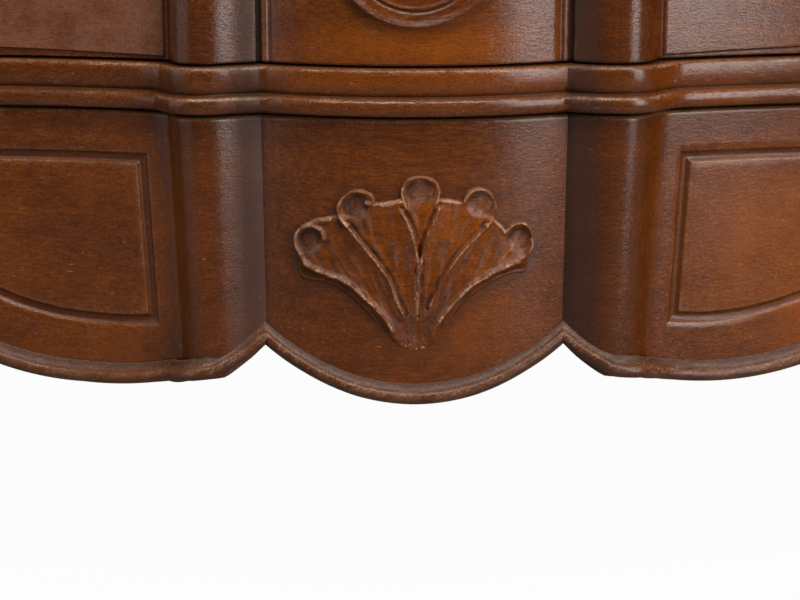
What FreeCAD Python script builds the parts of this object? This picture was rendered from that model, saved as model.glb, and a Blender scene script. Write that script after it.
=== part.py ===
import FreeCAD, Part
import math
import os

# Commode with a crossbow front: a framed carcase on four legs and three drawers.
# +Z is up, the front faces -Y, and the origin is on the floor under the middle of the top.
doc = FreeCAD.newDocument("commode")
sheet = doc.addObject("Spreadsheet::Sheet", "sizes")
SIZES = (
    ("case_width", 1212, "outer face to outer face of the posts"),
    ("overall_depth", 610, "depth of the top board"),
    ("foot_clearance", 150, "floor to the lowest point of the scalloped edge"),
    ("lower_front_height", 191, "lowest drawer front at its middle"),
    ("drawer_height", 158, "front of each upper drawer"),
    ("rail_height", 31, "moulded rails between the drawers"),
    ("gap_above", 2.5, "gap over a drawer front"),
    ("gap_below", 1.5, "gap under a drawer front"),
    ("side_gap", 2, "gap between a drawer front and a post"),
    ("top_thickness", 28, "top board"),
    ("top_overhang", 26, "top board past the drawer fronts"),
    ("top_side_overhang", 24, "top board past the posts"),
    ("top_corner", 30, "corner radius of the top board"),
    ("back_overhang", 8, "top board past the rear posts"),
    ("post_size", 72, "front posts"),
    ("post_proud", 12, "front posts past the ends of the drawer fronts"),
    ("post_corner", 26, "rounded corner of the front posts"),
    ("rear_post_size", 50, "rear posts"),
    ("centre_width", 202, "bowed middle of the front, valley to valley"),
    ("centre_bow", 22, "rise of the bowed middle"),
    ("column_width", 60, "half-round column, valley to crease"),
    ("column_bulge", 16.5, "rise of the column over its chord"),
    ("column_setback", 9, "crease behind the valley"),
    ("hollow_depth", 27, "lowest point of the hollow behind the crease"),
    ("hollow_distance", 340, "lowest point of the hollow from the middle"),
    ("end_rise", 22, "end of the front past the hollow"),
    ("front_thickness", 22, "drawer front where it is thinnest"),
    ("cusp_rise", 34.5, "cusp of the scalloped edge over its lowest point"),
    ("side_low", 208, "low point of the side scallop from the middle"),
    ("side_lift", 3, "low point of the side scallop over the middle one"),
    ("end_lift", 75, "end of the scalloped edge over its lowest point"),
    ("edge_bead", 13, "height of the bead on the scalloped edge"),
    ("edge_bead_rise", 7, "bead past the drawer front"),
    ("panel_top", 27.5, "fielded panel below the drawer top"),
    ("panel_inner", 18, "fielded panel from the crease"),
    ("panel_end", 22, "fielded panel from the end of the front"),
    ("panel_edge", 40, "fielded panel over the scalloped edge"),
    ("groove_width", 8, "moulded groove round the panel"),
    ("groove_depth", 3.5, "depth of that groove"),
    ("raised_field", 3, "raised side field of the upper drawers"),
    ("field_margin", 6, "raised field from the edges of the front"),
    ("field_start", 2, "raised field from the crease"),
    ("roundel_radius", 54, "turned roundel"),
    ("roundel_ring", 9, "rim of the roundel"),
    ("roundel_rise", 6, "rim past the drawer front"),
    ("shell_width", 150, "carved shell"),
    ("shell_height", 124, "carved shell"),
    ("shell_rise", 10, "shell past the drawer front"),
    ("shell_lift", 27, "shell over the lowest point of the edge"),
    ("shell_foot", 12, "rounded foot of the shell below its tails"),
    ("rail_bead", 11, "bead on the lower edge of a rail"),
    ("rail_bead_rise", 10, "that bead past the drawer fronts"),
    ("rail_band_rise", 6, "upper band of a rail past the drawer fronts"),
    ("rail_depth", 50, "rail behind the drawer fronts"),
    ("tenon_length", 30, "tenons into the posts"),
    ("tenon_thickness", 12, "tenons into the posts"),
    ("tenon_shoulder", 6, "shoulder over and under a tenon"),
    ("side_frame", 24, "thickness of the side rails"),
    ("side_setback", 6, "side rails behind the face of the posts"),
    ("side_rail", 70, "height of the top side rails"),
    ("apron_height", 85, "height of the side aprons at their ends"),
    ("apron_arch", 26, "rise of the arched lower edge of an apron"),
    ("panel_thickness", 12, "side panels in their grooves"),
    ("panel_tongue", 8, "panels into their grooves"),
    ("panel_field", 5, "raised field of the side panels"),
    ("field_inset", 45, "that field from the edge of the panel"),
    ("back_rail", 60, "height of the back rails"),
    ("back_rail_thickness", 22, "back rails"),
    ("back_rail_setback", 4, "back rails in from the back of the rear posts"),
    ("back_board_setback", 6, "back boards behind the front of the back rails"),
    ("back_board_thickness", 10, "back boards"),
    ("runner_thickness", 22, "drawer runners"),
    ("runner_overlap", 40, "runner under a drawer"),
    ("guide_height", 18, "drawer guides"),
    ("guide_gap", 1, "gap between a drawer side and its guide"),
    ("slide_gap", 0.3, "gap between a drawer and what it runs on"),
    ("dust_board", 8, "dust boards"),
    ("groove", 6, "boards into their grooves"),
    ("bottom_rail", 26, "height of the hidden front rail"),
    ("hidden_lift", 2, "hidden rails over the ends of the scalloped edge"),
    ("hidden_gap", 1, "hidden front rail behind the drawer front"),
    ("hidden_tenon", 2, "hidden rail in front of its tenons"),
    ("stop_height", 6, "drawer stops"),
    ("stop_width", 40, "drawer stops"),
    ("stop_depth", 14, "drawer stops"),
    ("drawer_back_gap", 40, "gap between a drawer box and the back rails"),
    ("drawer_side", 14, "drawer sides"),
    ("drawer_back", 12, "drawer backs"),
    ("drawer_bottom", 8, "drawer bottoms"),
    ("bottom_lift", 8, "drawer bottom over the lower edge of its sides"),
    ("side_drop", 8, "drawer sides below the top of the front"),
    ("tail_length", 14, "dovetails into the front"),
    ("peg_radius", 4, "joint pegs"),
    ("screw_radius", 2.5, "screws that hold the top"),
    ("screw_head", 3, "heads of those screws"),
    ("screw_sink", 9, "front screws over the foot of the top rail"),
    ("screw_inset", 16, "front screws from the back of the top rail"),
    ("pull_distance", 352, "middle of a pull from the middle of the front"),
    ("pull_spacing", 80, "posts of a pull, middle to middle"),
    ("rosette_radius", 14, "pull rosettes"),
    ("rosette_thickness", 4, "pull rosettes"),
    ("pull_standoff", 16, "axis of a bail past the front"),
    ("pull_seat", 1, "rosettes past the lowest point of the front"),
    ("pull_lift", 6, "pulls of the lowest drawer over the middle of its ends"),
    ("pull_stem", 4, "radius of the pull posts"),
    ("pull_head", 7, "radius of the heads of the pull posts"),
    ("bail_radius", 2.6, "radius of a bail rod"),
    ("bail_gap", 0.3, "gap round a bail rod in its post"),
    ("bail_drop", 36, "bail below its axis"),
    ("nut_width", 14, "nuts of the pull posts"),
)
for row, (alias, number, meaning) in enumerate(SIZES, 1):
    sheet.set(f"A{row}", meaning)
    sheet.set(f"B{row}", str(number))
    sheet.setAlias(f"B{row}", alias)
doc.recompute()


class Size:
    """A length that carries its number and the sheet expression it comes from."""

    def __init__(self, text, number):
        self.text = text
        self.number = float(number)

    def __add__(self, other):
        other = size(other)
        return Size(f"({self.text} + {other.text})", self.number + other.number)

    def __sub__(self, other):
        other = size(other)
        return Size(f"({self.text} - {other.text})", self.number - other.number)

    def __mul__(self, factor):
        return Size(f"({self.text} * {factor})", self.number * factor)

    def __truediv__(self, factor):
        return Size(f"({self.text} / {factor})", self.number / factor)

    def __neg__(self):
        return Size(f"(0 - {self.text})", -self.number)

    def __float__(self):
        return self.number


def size(value):
    return value if isinstance(value, Size) else Size(f"({value})", value)


class Sheet:
    """Reads a size by the name of its cell."""

    def __getattr__(self, alias):
        return Size(f"sizes.{alias}", sheet.get(alias))


S = Sheet()
nodes = {}


def keep(label, thing):
    """Names a finished piece, which is also the name of its file."""
    thing.Label = label
    nodes[label] = thing
    return thing


def board(label, x, y, z):
    """A squared board between two limits along each axis."""
    box = doc.addObject("Part::Box", label)
    for edge, axis, limits in zip(("Length", "Width", "Height"), "xyz", (x, y, z)):
        low, high = size(limits[0]), size(limits[1])
        box.setExpression(edge, (high - low).text)
        box.setExpression(f"Placement.Base.{axis}", low.text)
    return box


def rod(label, radius, low, length, axis):
    """A round rod from a point along the axis it is given."""
    cylinder = doc.addObject("Part::Cylinder", label)
    cylinder.setExpression("Radius", size(radius).text)
    cylinder.setExpression("Height", size(length).text)
    cylinder.Placement.Rotation = FreeCAD.Rotation(FreeCAD.Vector(0, 0, 1), FreeCAD.Vector(*axis))
    for name, value in zip("xyz", low):
        cylinder.setExpression(f"Placement.Base.{name}", size(value).text)
    return cylinder


TURNS = {
    "plan": FreeCAD.Rotation(),
    "front": FreeCAD.Rotation(FreeCAD.Vector(1, 0, 0), 90),
    "side": FreeCAD.Rotation(FreeCAD.Vector(1, 1, 1), 120),
}


def outline(label, edges, plane, level):
    """A closed sketch in plan, seen from the front or seen from the side, at its level."""
    sketch = doc.addObject("Sketcher::SketchObject", label)
    sketch.Placement = FreeCAD.Placement(FreeCAD.Vector(), TURNS[plane])
    sketch.setExpression("Placement.Base." + {"plan": "z", "front": "y", "side": "x"}[plane], level.text)
    sketch.addGeometry(edges, False)
    return sketch


def extrude(label, edges, plane, low, high):
    """A sketch drawn out between two levels."""
    low, high = size(low), size(high)
    solid = doc.addObject("Part::Extrusion", label)
    solid.Base = outline(label + "_sketch", edges, plane, high if plane == "front" else low)
    solid.DirMode = "Normal"
    solid.Solid = True
    solid.setExpression("LengthFwd", (high - low).text)
    return solid


def line(a, b):
    return Part.LineSegment(FreeCAD.Vector(*a, 0), FreeCAD.Vector(*b, 0))


def arc(a, b, centre, convex):
    """The short arc from a to b; convex is +1 where it bulges away from its centre's far side."""
    radius = math.dist(a, centre)
    middle = [(p + q) / 2 - c for p, q, c in zip(a, b, centre)]
    reach = radius / math.hypot(*middle) * convex
    through = [c + m * reach for c, m in zip(centre, middle)]
    return Part.Arc(FreeCAD.Vector(*a, 0), FreeCAD.Vector(*through, 0), FreeCAD.Vector(*b, 0))


def polygon(points):
    return [line(a, b) for a, b in zip(points, points[1:] + points[:1])]


def meet(c1, r1, c2, r2, near):
    """The crossing of two circles nearest to a point."""
    gap = math.dist(c1, c2)
    along = (gap * gap + r1 * r1 - r2 * r2) / (2 * gap)
    across = math.sqrt(r1 * r1 - along * along)
    ux, uy = (c2[0] - c1[0]) / gap, (c2[1] - c1[1]) / gap
    mid = (c1[0] + along * ux, c1[1] + along * uy)
    both = [(mid[0] - s * across * uy, mid[1] + s * across * ux) for s in (1, -1)]
    return min(both, key=lambda p: math.dist(p, near))


def boolean(kind, label, base, *tools):
    tool = tools[0]
    if len(tools) > 1:
        tool = doc.addObject("Part::MultiFuse", label + "_tools")
        tool.Shapes = list(tools)
    made = doc.addObject(kind, label)
    made.Base = base
    made.Tool = tool
    return made


def cut(label, base, *tools):
    return boolean("Part::Cut", label, base, *tools)


def common(label, base, tool):
    return boolean("Part::Common", label, base, tool)


def fuse(label, *parts):
    made = doc.addObject("Part::MultiFuse", label)
    made.Shapes = list(parts)
    made.Refine = True
    return made


def group(label, parts):
    made = doc.addObject("Part::Compound", label)
    made.Links = list(parts)
    return made


def sided(low, high, sign):
    return (low, high) if sign > 0 else (-high, -low)


SIDES = (("left", -1), ("right", 1))

# Levels across, front to back and upwards that several pieces share.
half = S.case_width / 2
post_x = half - S.post_size
end_x = post_x - S.side_gap
valley_x = S.centre_width / 2
crease_x = valley_x + S.column_width
crease_d = S.front_thickness + S.hollow_depth
valley_d = crease_d + S.column_setback
centre_d = valley_d + S.centre_bow
end_d = S.front_thickness + S.end_rise
seat_y = centre_d + S.top_overhang - S.overall_depth / 2
post_y = seat_y - end_d - S.post_proud
post_back_y = post_y + S.post_size
rail_back_y = seat_y + S.rail_depth
back_y = S.overall_depth / 2 - S.back_overhang
back_rail_y = back_y - S.back_rail_setback - S.back_rail_thickness
rear_y = back_y - S.rear_post_size
rear_x = half - S.rear_post_size
drop_z = S.foot_clearance
end_z = drop_z + S.end_lift
bottom_top_z = drop_z + S.lower_front_height
lower_rail_z = bottom_top_z + S.gap_above
middle_z = lower_rail_z + S.rail_height + S.gap_below
middle_top_z = middle_z + S.drawer_height
upper_rail_z = middle_top_z + S.gap_above
top_z = upper_rail_z + S.rail_height + S.gap_below
top_top_z = top_z + S.drawer_height
top_rail_z = top_top_z + S.gap_above
case_z = top_rail_z + S.rail_height
all_z = case_z + S.top_thickness


def front_line(offset):
    """Arcs of the serpentine front from its right end to its left end, moved forwards by an offset."""
    o = float(offset)
    y0 = float(seat_y)
    xv, xq, xh, xe = map(float, (valley_x, crease_x, S.hollow_distance, end_x))
    dv, dq, dh, de = map(float, (valley_d, crease_d, S.front_thickness, end_d))
    bow, bulge, hollow, rise = map(float, (S.centre_bow, S.column_bulge, S.hollow_depth, S.end_rise))
    r_mid = (xv * xv + bow * bow) / (2 * bow)
    c_mid = (0.0, dv + bow - r_mid)
    chord = math.dist((xv, dv), (xq, dq))
    r_col = (chord * chord / 4 + bulge * bulge) / (2 * bulge)
    back = r_col - bulge
    c_col = ((xv + xq) / 2 - back * (dv - dq) / chord, (dv + dq) / 2 - back * (xq - xv) / chord)
    r_in = ((xh - xq) ** 2 + hollow * hollow) / (2 * hollow)
    c_in = (xh, dh + r_in)
    reach = (xe - xh) / 2
    r_out = (reach * reach + rise * rise / 4) / rise
    c_out = (xh, dh + r_out)
    c_end = (xe, de - r_out)
    valley = meet(c_mid, r_mid + o, c_col, r_col + o, (xv, dv + o))
    crease = meet(c_col, r_col + o, c_in, r_in - o, (xq + o / 2, dq + o))
    low = (xh, dh + o)
    turn = (xh + reach * (r_out - o) / r_out, dh + r_out - (r_out - rise / 2) * (r_out - o) / r_out)
    half_run = [
        ((xe, de + o), turn, c_end, 1),
        (turn, low, c_out, 1),
        (low, crease, c_in, 1),
        (crease, valley, c_col, 1),
    ]
    at = lambda p, s=1: (s * p[0], y0 - p[1])
    right = [arc(at(a), at(b), at(c), k) for a, b, c, k in half_run]
    middle = [arc(at(valley), at(valley, -1), at(c_mid), 1)]
    left = [arc(at(b, -1), at(a, -1), at(c, -1), k) for a, b, c, k in reversed(half_run)]
    return right + middle + left, (xe, y0 - de - o)


def front_plan(offset, side_x, rear):
    """Closed plan of a piece with the serpentine front between two side limits and a straight back."""
    arcs, corner = front_line(offset)
    x, y = float(side_x), float(rear)
    run = [(-corner[0], corner[1]), (-x, corner[1]), (-x, y), (x, y), (x, corner[1]), corner]
    run = [p for p, q in zip(run, [None] + run) if q is None or math.dist(p, q) > 1e-6]
    return arcs + [line(a, b) for a, b in zip(run, run[1:])]


# The serpentine front at several offsets, as tall blocks that the pieces of the front are taken from.
block = extrude("front_block", front_plan(0, end_x, seat_y), "plan", 0, all_z)


def skin(label, low, high):
    """The layer of the front between two offsets."""
    outer = extrude(label + "_outer", front_plan(high, end_x, seat_y), "plan", 0, all_z)
    inner = block
    if low is not None:
        inner = extrude(label + "_inner", front_plan(low, end_x, seat_y), "plan", 0, all_z)
    return cut(label, outer, inner)


field_skin = skin("field_skin", None, S.raised_field)
ring_skin = skin("ring_skin", None, S.roundel_rise)
disc_skin = skin("disc_skin", None, S.roundel_rise / 2)
bead_skin = skin("bead_skin", None, S.edge_bead_rise)
shell_skin = skin("shell_skin", None, S.shell_rise)
groove_outer = extrude("groove_skin_inner", front_plan(-S.groove_depth, end_x, seat_y), "plan", 0, all_z)
groove_skin = cut("groove_skin", block, groove_outer)

# Scalloped edge of the lowest drawer: a middle arc, a side arc and an end arc on each side.
xv, xl, xe = map(float, (valley_x, S.side_low, end_x))
mid_r = (xv * xv + float(S.cusp_rise) ** 2) / (2 * float(S.cusp_rise))
mid_c = (0.0, float(drop_z) + mid_r)
low_z = float(drop_z + S.side_lift)
cusp = (xv, float(drop_z + S.cusp_rise))
fall = cusp[1] - low_z
side_r = ((xl - xv) ** 2 + fall * fall) / (2 * fall)
side_c = (xl, low_z + side_r)
swing = 2 * math.atan((float(end_z) - low_z) / (xe - xl))
end_r = (xe - xl) / math.sin(swing) - side_r
end_c = (xe, float(end_z) - end_r)


def scallop_height(x, lift):
    """Height of the side scallop at x, moved up square to itself by a lift."""
    if x <= xl + (side_r - lift) * math.sin(swing):
        return side_c[1] - math.sqrt((side_r - lift) ** 2 - (x - xl) ** 2)
    return end_c[1] + math.sqrt((end_r + lift) ** 2 - (x - xe) ** 2)


def side_run(lift, start_x, stop_x):
    """Arcs of the side scallop from its inner to its outer end, with the three points they join."""
    turn = (xl + (side_r - lift) * math.sin(swing), side_c[1] - (side_r - lift) * math.cos(swing))
    first = (start_x, scallop_height(start_x, lift))
    last = (stop_x, scallop_height(stop_x, lift))
    return [(first, turn, side_c), (turn, last, end_c)]


def flipped(point, sign):
    return (sign * point[0], point[1])


def edges_of(run, sign, back=False):
    made = []
    for a, b, c in reversed(run) if back else run:
        ends = (b, a) if back else (a, b)
        made.append(arc(flipped(ends[0], sign), flipped(ends[1], sign), flipped(c, sign), 1))
    return made


top_line = float(bottom_top_z)
elevation = edges_of(side_run(0, xv, xe), 1)
elevation += [line((xe, float(end_z)), (xe, top_line)), line((xe, top_line), (-xe, top_line))]
elevation += [line((-xe, top_line), (-xe, float(end_z)))] + edges_of(side_run(0, xv, xe), -1, True)
elevation += [arc(flipped(cusp, -1), cusp, mid_c, 1)]
through_y = (-S.overall_depth, S.overall_depth)
bottom_blank = common("bottom_front_blank", block, extrude("bottom_face", elevation, "front", *through_y))

# Applied bead along the scalloped edge: a strip for the middle and one for each side, mitred at the cusps.
bead = float(S.edge_bead)
mitre = meet(mid_c, mid_r - bead, side_c, side_r - bead, (xv, cusp[1] + bead))
strips = []
middle_strip = [arc(flipped(cusp, -1), cusp, mid_c, 1), line(cusp, mitre)]
middle_strip += [arc(mitre, flipped(mitre, -1), mid_c, 1), line(flipped(mitre, -1), flipped(cusp, -1))]
strips.append(extrude("middle_strip_band", middle_strip, "front", *through_y))
for side, sign in SIDES:
    band = edges_of(side_run(0, xv, xe), sign)
    band += [line((sign * xe, float(end_z)), (sign * xe, scallop_height(xe, bead)))]
    band += edges_of(side_run(bead, mitre[0], xe), sign, True)
    band += [line(flipped(mitre, sign), flipped(cusp, sign))]
    strips.append(extrude(f"{side}_strip_band", band, "front", *through_y))
strips = [common(f"edge_strip_{i}", bead_skin, strip) for i, strip in enumerate(strips)]
keep("bottom_drawer_edge_bead", group("edge_bead", strips))

# Moulded grooves round the fielded side panels of the lowest drawer.
groove_rings = []
for side, sign in SIDES:
    loops = []
    for name, inset in (("outer", 0.0), ("inner", float(S.groove_width))):
        x0 = float(crease_x + S.panel_inner) + inset
        x1 = float(end_x - S.panel_end) - inset
        z1 = float(bottom_top_z - S.panel_top) - inset
        run = side_run(float(S.panel_edge) + inset, x0, x1)
        loop = edges_of(run, sign)
        corners = [run[1][1], (x1, z1), (x0, z1), run[0][0]]
        loop += [line(flipped(a, sign), flipped(b, sign)) for a, b in zip(corners, corners[1:])]
        loops.append(extrude(f"{side}_panel_{name}", loop, "front", *through_y))
    ring = cut(f"{side}_panel_ring", *loops)
    groove_rings.append(common(f"{side}_panel_groove", groove_skin, ring))

# Carved shell: a fan of five lobes over two curled tails, let down to a plain relief.
LOBES = (
    ((0.11, 0.04), None),
    ((0.47, 0.37), (0.27, 0.25)),
    ((0.36, 0.68), (0.52, 0.57)),
    ((0.125, 0.78), (0.29, 0.92)),
    ((0.0, 1.0), (0.095, 0.95)),
)
shell_z = float(drop_z + S.shell_lift)
sx, sz = float(S.shell_width), float(S.shell_height)
right_run = [((a[0] * sx, shell_z + a[1] * sz), b and (b[0] * sx, shell_z + b[1] * sz)) for a, b in LOBES]
fan = []
for (a, _), (b, through) in zip(right_run, right_run[1:]):
    for sign in (1, -1):
        points = [FreeCAD.Vector(sign * p[0], p[1], 0) for p in (a, through, b)]
        fan.append(Part.Arc(*(points if sign > 0 else points[::-1])))
foot = right_run[0][0]
foot_run = (flipped(foot, -1), (0, foot[1] - float(S.shell_foot)), foot)
fan.append(Part.Arc(*[FreeCAD.Vector(*p, 0) for p in foot_run]))
fan_solid = extrude("shell_fan", fan, "front", *through_y)
keep("bottom_drawer_shell", common("shell", shell_skin, fan_solid))

# Pulls: rosettes, posts with nuts and bails, two pulls on each drawer over the hollows of the front.
pull_half = S.pull_spacing / 2
hidden_z = (end_z + S.hidden_lift, end_z + S.hidden_lift + S.bottom_rail)
DRAWERS = (
    ("top", top_z, top_top_z, S.raised_field, top_rail_z, upper_rail_z + S.rail_height),
    ("middle", middle_z, middle_top_z, S.raised_field, upper_rail_z, lower_rail_z + S.rail_height),
    ("bottom", hidden_z[0], bottom_top_z, S.raised_field * 0, lower_rail_z, hidden_z[1]),
)
seats = {}
for name, low, high, raise_, rail_z, run_z in DRAWERS:
    level = (low + high) / 2
    if name == "bottom":
        level = level + S.pull_lift
    face_y = seat_y - S.front_thickness - raise_ - S.pull_seat
    rosettes, posts, cutters = [], [], []
    for side, sign in SIDES:
        for place, step in (("inner", -1), ("outer", 1)):
            x = S.pull_distance * sign + pull_half * (sign * step)
            tag = f"{name}_{side}_{place}"
            face = (x, face_y, level)
            disc = rod(tag + "_disc", S.rosette_radius, face, S.rosette_thickness * 0.6, (0, -1, 0))
            boss = rod(tag + "_boss", S.rosette_radius * 0.65, face, S.rosette_thickness, (0, -1, 0))
            stem_start = seat_y + S.nut_width * 0.55
            stem_length = stem_start - face_y + S.pull_standoff
            stem = rod(tag + "_stem", S.pull_stem, (x, stem_start, level), stem_length, (0, -1, 0))
            head = doc.addObject("Part::Sphere", tag + "_head")
            head.setExpression("Radius", S.pull_head.text)
            for axis, value in zip("xyz", (x, face_y - S.pull_standoff, level)):
                head.setExpression(f"Placement.Base.{axis}", value.text)
            eye_start = (x - S.pull_head * 2, face_y - S.pull_standoff, level)
            eye = rod(tag + "_eye", S.bail_radius + S.bail_gap, eye_start, S.pull_head * 4, (1, 0, 0))
            shank = cut(tag + "_post", fuse(tag + "_post_blank", stem, head), eye)
            nut_x = (x - S.nut_width / 2, x + S.nut_width / 2)
            nut_z = (level - S.nut_width / 2, level + S.nut_width / 2)
            nut = board(tag + "_nut_blank", nut_x, (seat_y, seat_y + S.nut_width * 0.4), nut_z)
            rosettes.append(cut(tag + "_rosette", fuse(tag + "_rosette_blank", disc, boss), stem))
            posts += [shank, cut(tag + "_nut", nut, stem)]
            spot = rod(tag + "_spot", S.rosette_radius + S.bail_gap, face, S.rosette_radius * 2, (0, -1, 0))
            cutters += [stem, spot]
        # Bail: a bent rod whose turned-in ends lie in the heads of the two posts.
        reach = float(pull_half + S.pull_head) + 8
        bend, corner, drop = 6.0, float(S.bail_drop) / 2, float(S.bail_drop)
        pin = float(pull_half) - 4
        stations = [(pin, 0), (reach - bend, 0), (reach, -bend)]
        stations += [(reach, corner - drop), (reach - corner, -drop)]
        path = [line(stations[0], stations[1])]
        path += [arc(stations[1], stations[2], (reach - bend, -bend), 1), line(stations[2], stations[3])]
        path += [arc(stations[3], stations[4], (reach - corner, corner - drop), 1)]
        path += [line(stations[4], flipped(stations[4], -1))]
        path += [arc(flipped(stations[4], -1), flipped(stations[3], -1), (corner - reach, corner - drop), 1)]
        path += [line(flipped(stations[3], -1), flipped(stations[2], -1))]
        path += [arc(flipped(stations[2], -1), flipped(stations[1], -1), (bend - reach, -bend), 1)]
        path += [line(flipped(stations[1], -1), flipped(stations[0], -1))]
        spine = doc.addObject("Sketcher::SketchObject", f"{name}_{side}_bail_path")
        spine.Placement = FreeCAD.Placement(FreeCAD.Vector(), TURNS["front"])
        spine.addGeometry(path, False)
        for axis, value in zip("xyz", (S.pull_distance * sign, face_y - S.pull_standoff, level)):
            spine.setExpression(f"Placement.Base.{axis}", value.text)
        section = doc.addObject("Part::Circle", f"{name}_{side}_bail_section")
        section.setExpression("Radius", S.bail_radius.text)
        section.Placement.Rotation = FreeCAD.Rotation(FreeCAD.Vector(0, 1, 0), 90)
        for axis, value in zip("xyz", (S.pull_distance * sign + pin, face_y - S.pull_standoff, level)):
            section.setExpression(f"Placement.Base.{axis}", value.text)
        doc.recompute([spine, section])
        bail = doc.addObject("Part::Sweep", f"{name}_{side}_bail")
        bail.Sections = [section]
        bail.Spine = (spine, [f"Edge{i + 1}" for i in range(len(path))])
        bail.Solid = True
        keep(f"{name}_{side}_bail", bail)
    keep(f"{name}_pull_rosettes", group(f"{name}_rosettes", rosettes))
    keep(f"{name}_pull_posts", group(f"{name}_posts", posts))
    seats[name] = cutters

# Drawer boxes: sides dovetailed into the front, back between the sides, bottom slid into grooves.
for name, low, high, raise_, rail_z, run_z in DRAWERS:
    foot_z = run_z + S.slide_gap
    side_top = high - S.side_drop
    tail_y = seat_y - S.tail_length
    box_end = back_rail_y - S.drawer_back_gap
    inner_x = end_x - S.drawer_side
    floor_z = foot_z + S.bottom_lift
    bottom_x = inner_x + S.groove
    bottom_z = (floor_z, floor_z + S.drawer_bottom)
    bottom = board(f"{name}_drawer_bottom", (-bottom_x, bottom_x), (seat_y - S.groove, box_end), bottom_z)
    keep(f"{name}_drawer_bottom", bottom)
    back_z = (floor_z + S.drawer_bottom, side_top - S.side_drop)
    back = board(f"{name}_drawer_back", (-inner_x, inner_x), (box_end - S.drawer_back, box_end), back_z)
    keep(f"{name}_drawer_back", back)
    tails = []
    for side, sign in SIDES:
        across = sided(inner_x, end_x, sign)
        plain = board(f"{name}_{side}_side_board", across, (seat_y, box_end), (foot_z, side_top))
        count = max(2, round((float(side_top) - float(foot_z)) / 42))
        pitch = (float(side_top) - float(low if name != "bottom" else foot_z) - 8) / count
        first = float(side_top) - 4 - pitch * count
        pieces = [plain]
        for i in range(count):
            z0, z1 = first + pitch * (i + 0.18), first + pitch * (i + 0.82)
            flare = pitch * 0.07
            y0, y1 = float(seat_y), float(tail_y)
            points = [(y0, z0 + flare), (y0, z1 - flare), (y1, z1), (y1, z0)]
            pieces.append(extrude(f"{name}_{side}_tail_{i}", polygon(points), "side", *across))
        tails += pieces[1:]
        whole = fuse(f"{name}_{side}_side_blank", *pieces)
        keep(f"{name}_drawer_{side}_side", cut(f"{name}_{side}_side", whole, bottom))
    if name == "bottom":
        front = cut("bottom_front", bottom_blank, bottom, *tails, *seats[name], *groove_rings)
    else:
        sheet_z = board(f"{name}_front_zone", (-end_x, end_x), through_y, (low, high))
        fields = [common(f"{name}_front_blank", block, sheet_z)]
        for side, sign in SIDES:
            field_x = sided(crease_x + S.field_start, end_x - S.field_margin, sign)
            field_z = (low + S.field_margin, high - S.field_margin)
            zone = board(f"{name}_{side}_field_zone", field_x, through_y, field_z)
            fields.append(common(f"{name}_{side}_field", field_skin, zone))
        front = cut(f"{name}_front", fuse(f"{name}_front_whole", *fields), bottom, *tails, *seats[name])
        # Turned roundel on the bowed middle: a raised rim round a lower disc.
        level = (low + high) / 2
        inner_r = S.roundel_radius - S.roundel_ring
        disc = rod(f"{name}_roundel_disc", inner_r, (0, 0, level), S.overall_depth, (0, -1, 0))
        rim = rod(f"{name}_roundel_rim", S.roundel_radius, (0, 0, level), S.overall_depth, (0, -1, 0))
        ring = common(f"{name}_ring", ring_skin, cut(f"{name}_rim_ring", rim, disc))
        keep(f"{name}_drawer_roundel", fuse(f"{name}_roundel", ring, common(f"{name}_disc", disc_skin, disc)))
    keep(f"{name}_drawer_front", front)

# Front posts: a squared post with a rounded corner that runs down into a curved leg.
LEG = ((0.0, 0.56, 9), (0.06, 0.62, 10), (0.2, 0.5, 2), (0.45, 0.6, -2), (0.76, 0.86, 5), (1.0, 1.0, 0))


def post_section(sign, scale, shift):
    """Section of a front post, shrunk about its middle and moved along the outward diagonal."""
    cx, cy = float(half - S.post_size / 2), float(post_y + S.post_size / 2)
    a = float(S.post_size) / 2 * scale
    r = float(S.post_corner) * scale
    step = shift / math.sqrt(2)
    mx, my = cx + step, cy - step
    points = [(mx + a - r, my - a), (mx - a, my - a), (mx - a, my + a)]
    points += [(mx + a, my + a), (mx + a, my - a + r)]
    run = [flipped(p, sign) for p in points]
    edges = [line(p, q) for p, q in zip(run, run[1:])]
    return edges + [arc(run[4], run[0], flipped((mx + a - r, my - a + r), sign), 1)]


post_blanks = {}
leg_z = end_z - 3
for side, sign in SIDES:
    shaft = extrude(f"{side}_post_shaft", post_section(sign, 1.0, 0.0), "plan", leg_z, case_z)
    rings = []
    for i, (fraction, scale, shift) in enumerate(LEG):
        rings.append(outline(f"{side}_leg_{i}", post_section(sign, scale, shift), "plan", leg_z * fraction))
    leg = doc.addObject("Part::Loft", f"{side}_leg")
    leg.Sections = rings
    leg.Solid = True
    post_blanks[side] = fuse(f"{side}_post_blank", shaft, leg)

# Moulded front rails: a band over a projecting bead, tenoned into the posts at both ends.
tenon_y = (post_y + S.post_size * 0.36, post_y + S.post_size * 0.36 + S.tenon_thickness)
tenons = {side: [] for side, _ in SIDES}
rails = {}
RAILS = {"lower_drawer_rail": lower_rail_z, "upper_drawer_rail": upper_rail_z, "front_top_rail": top_rail_z}
for name, low in RAILS.items():
    lip = low + S.rail_bead
    bead_plan = front_plan(S.rail_bead_rise, post_x, rail_back_y)
    band_plan = front_plan(S.rail_band_rise, post_x, rail_back_y)
    bead_part = extrude(name + "_bead", bead_plan, "plan", low, lip)
    band_part = extrude(name + "_band", band_plan, "plan", lip, low + S.rail_height)
    pieces = [bead_part, band_part]
    for side, sign in SIDES:
        tenon_z = (low + S.tenon_shoulder, low + S.rail_height - S.tenon_shoulder)
        tenon = board(f"{name}_{side}_tenon", sided(post_x, post_x + S.tenon_length, sign), tenon_y, tenon_z)
        pieces.append(tenon)
        tenons[side].append(tenon)
    rails[name] = fuse(name + "_blank", *pieces)
hidden_y = seat_y + S.hidden_gap
pieces = [board("hidden_rail_board", (-post_x, post_x), (hidden_y, hidden_y + S.rail_depth), hidden_z)]
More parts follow.
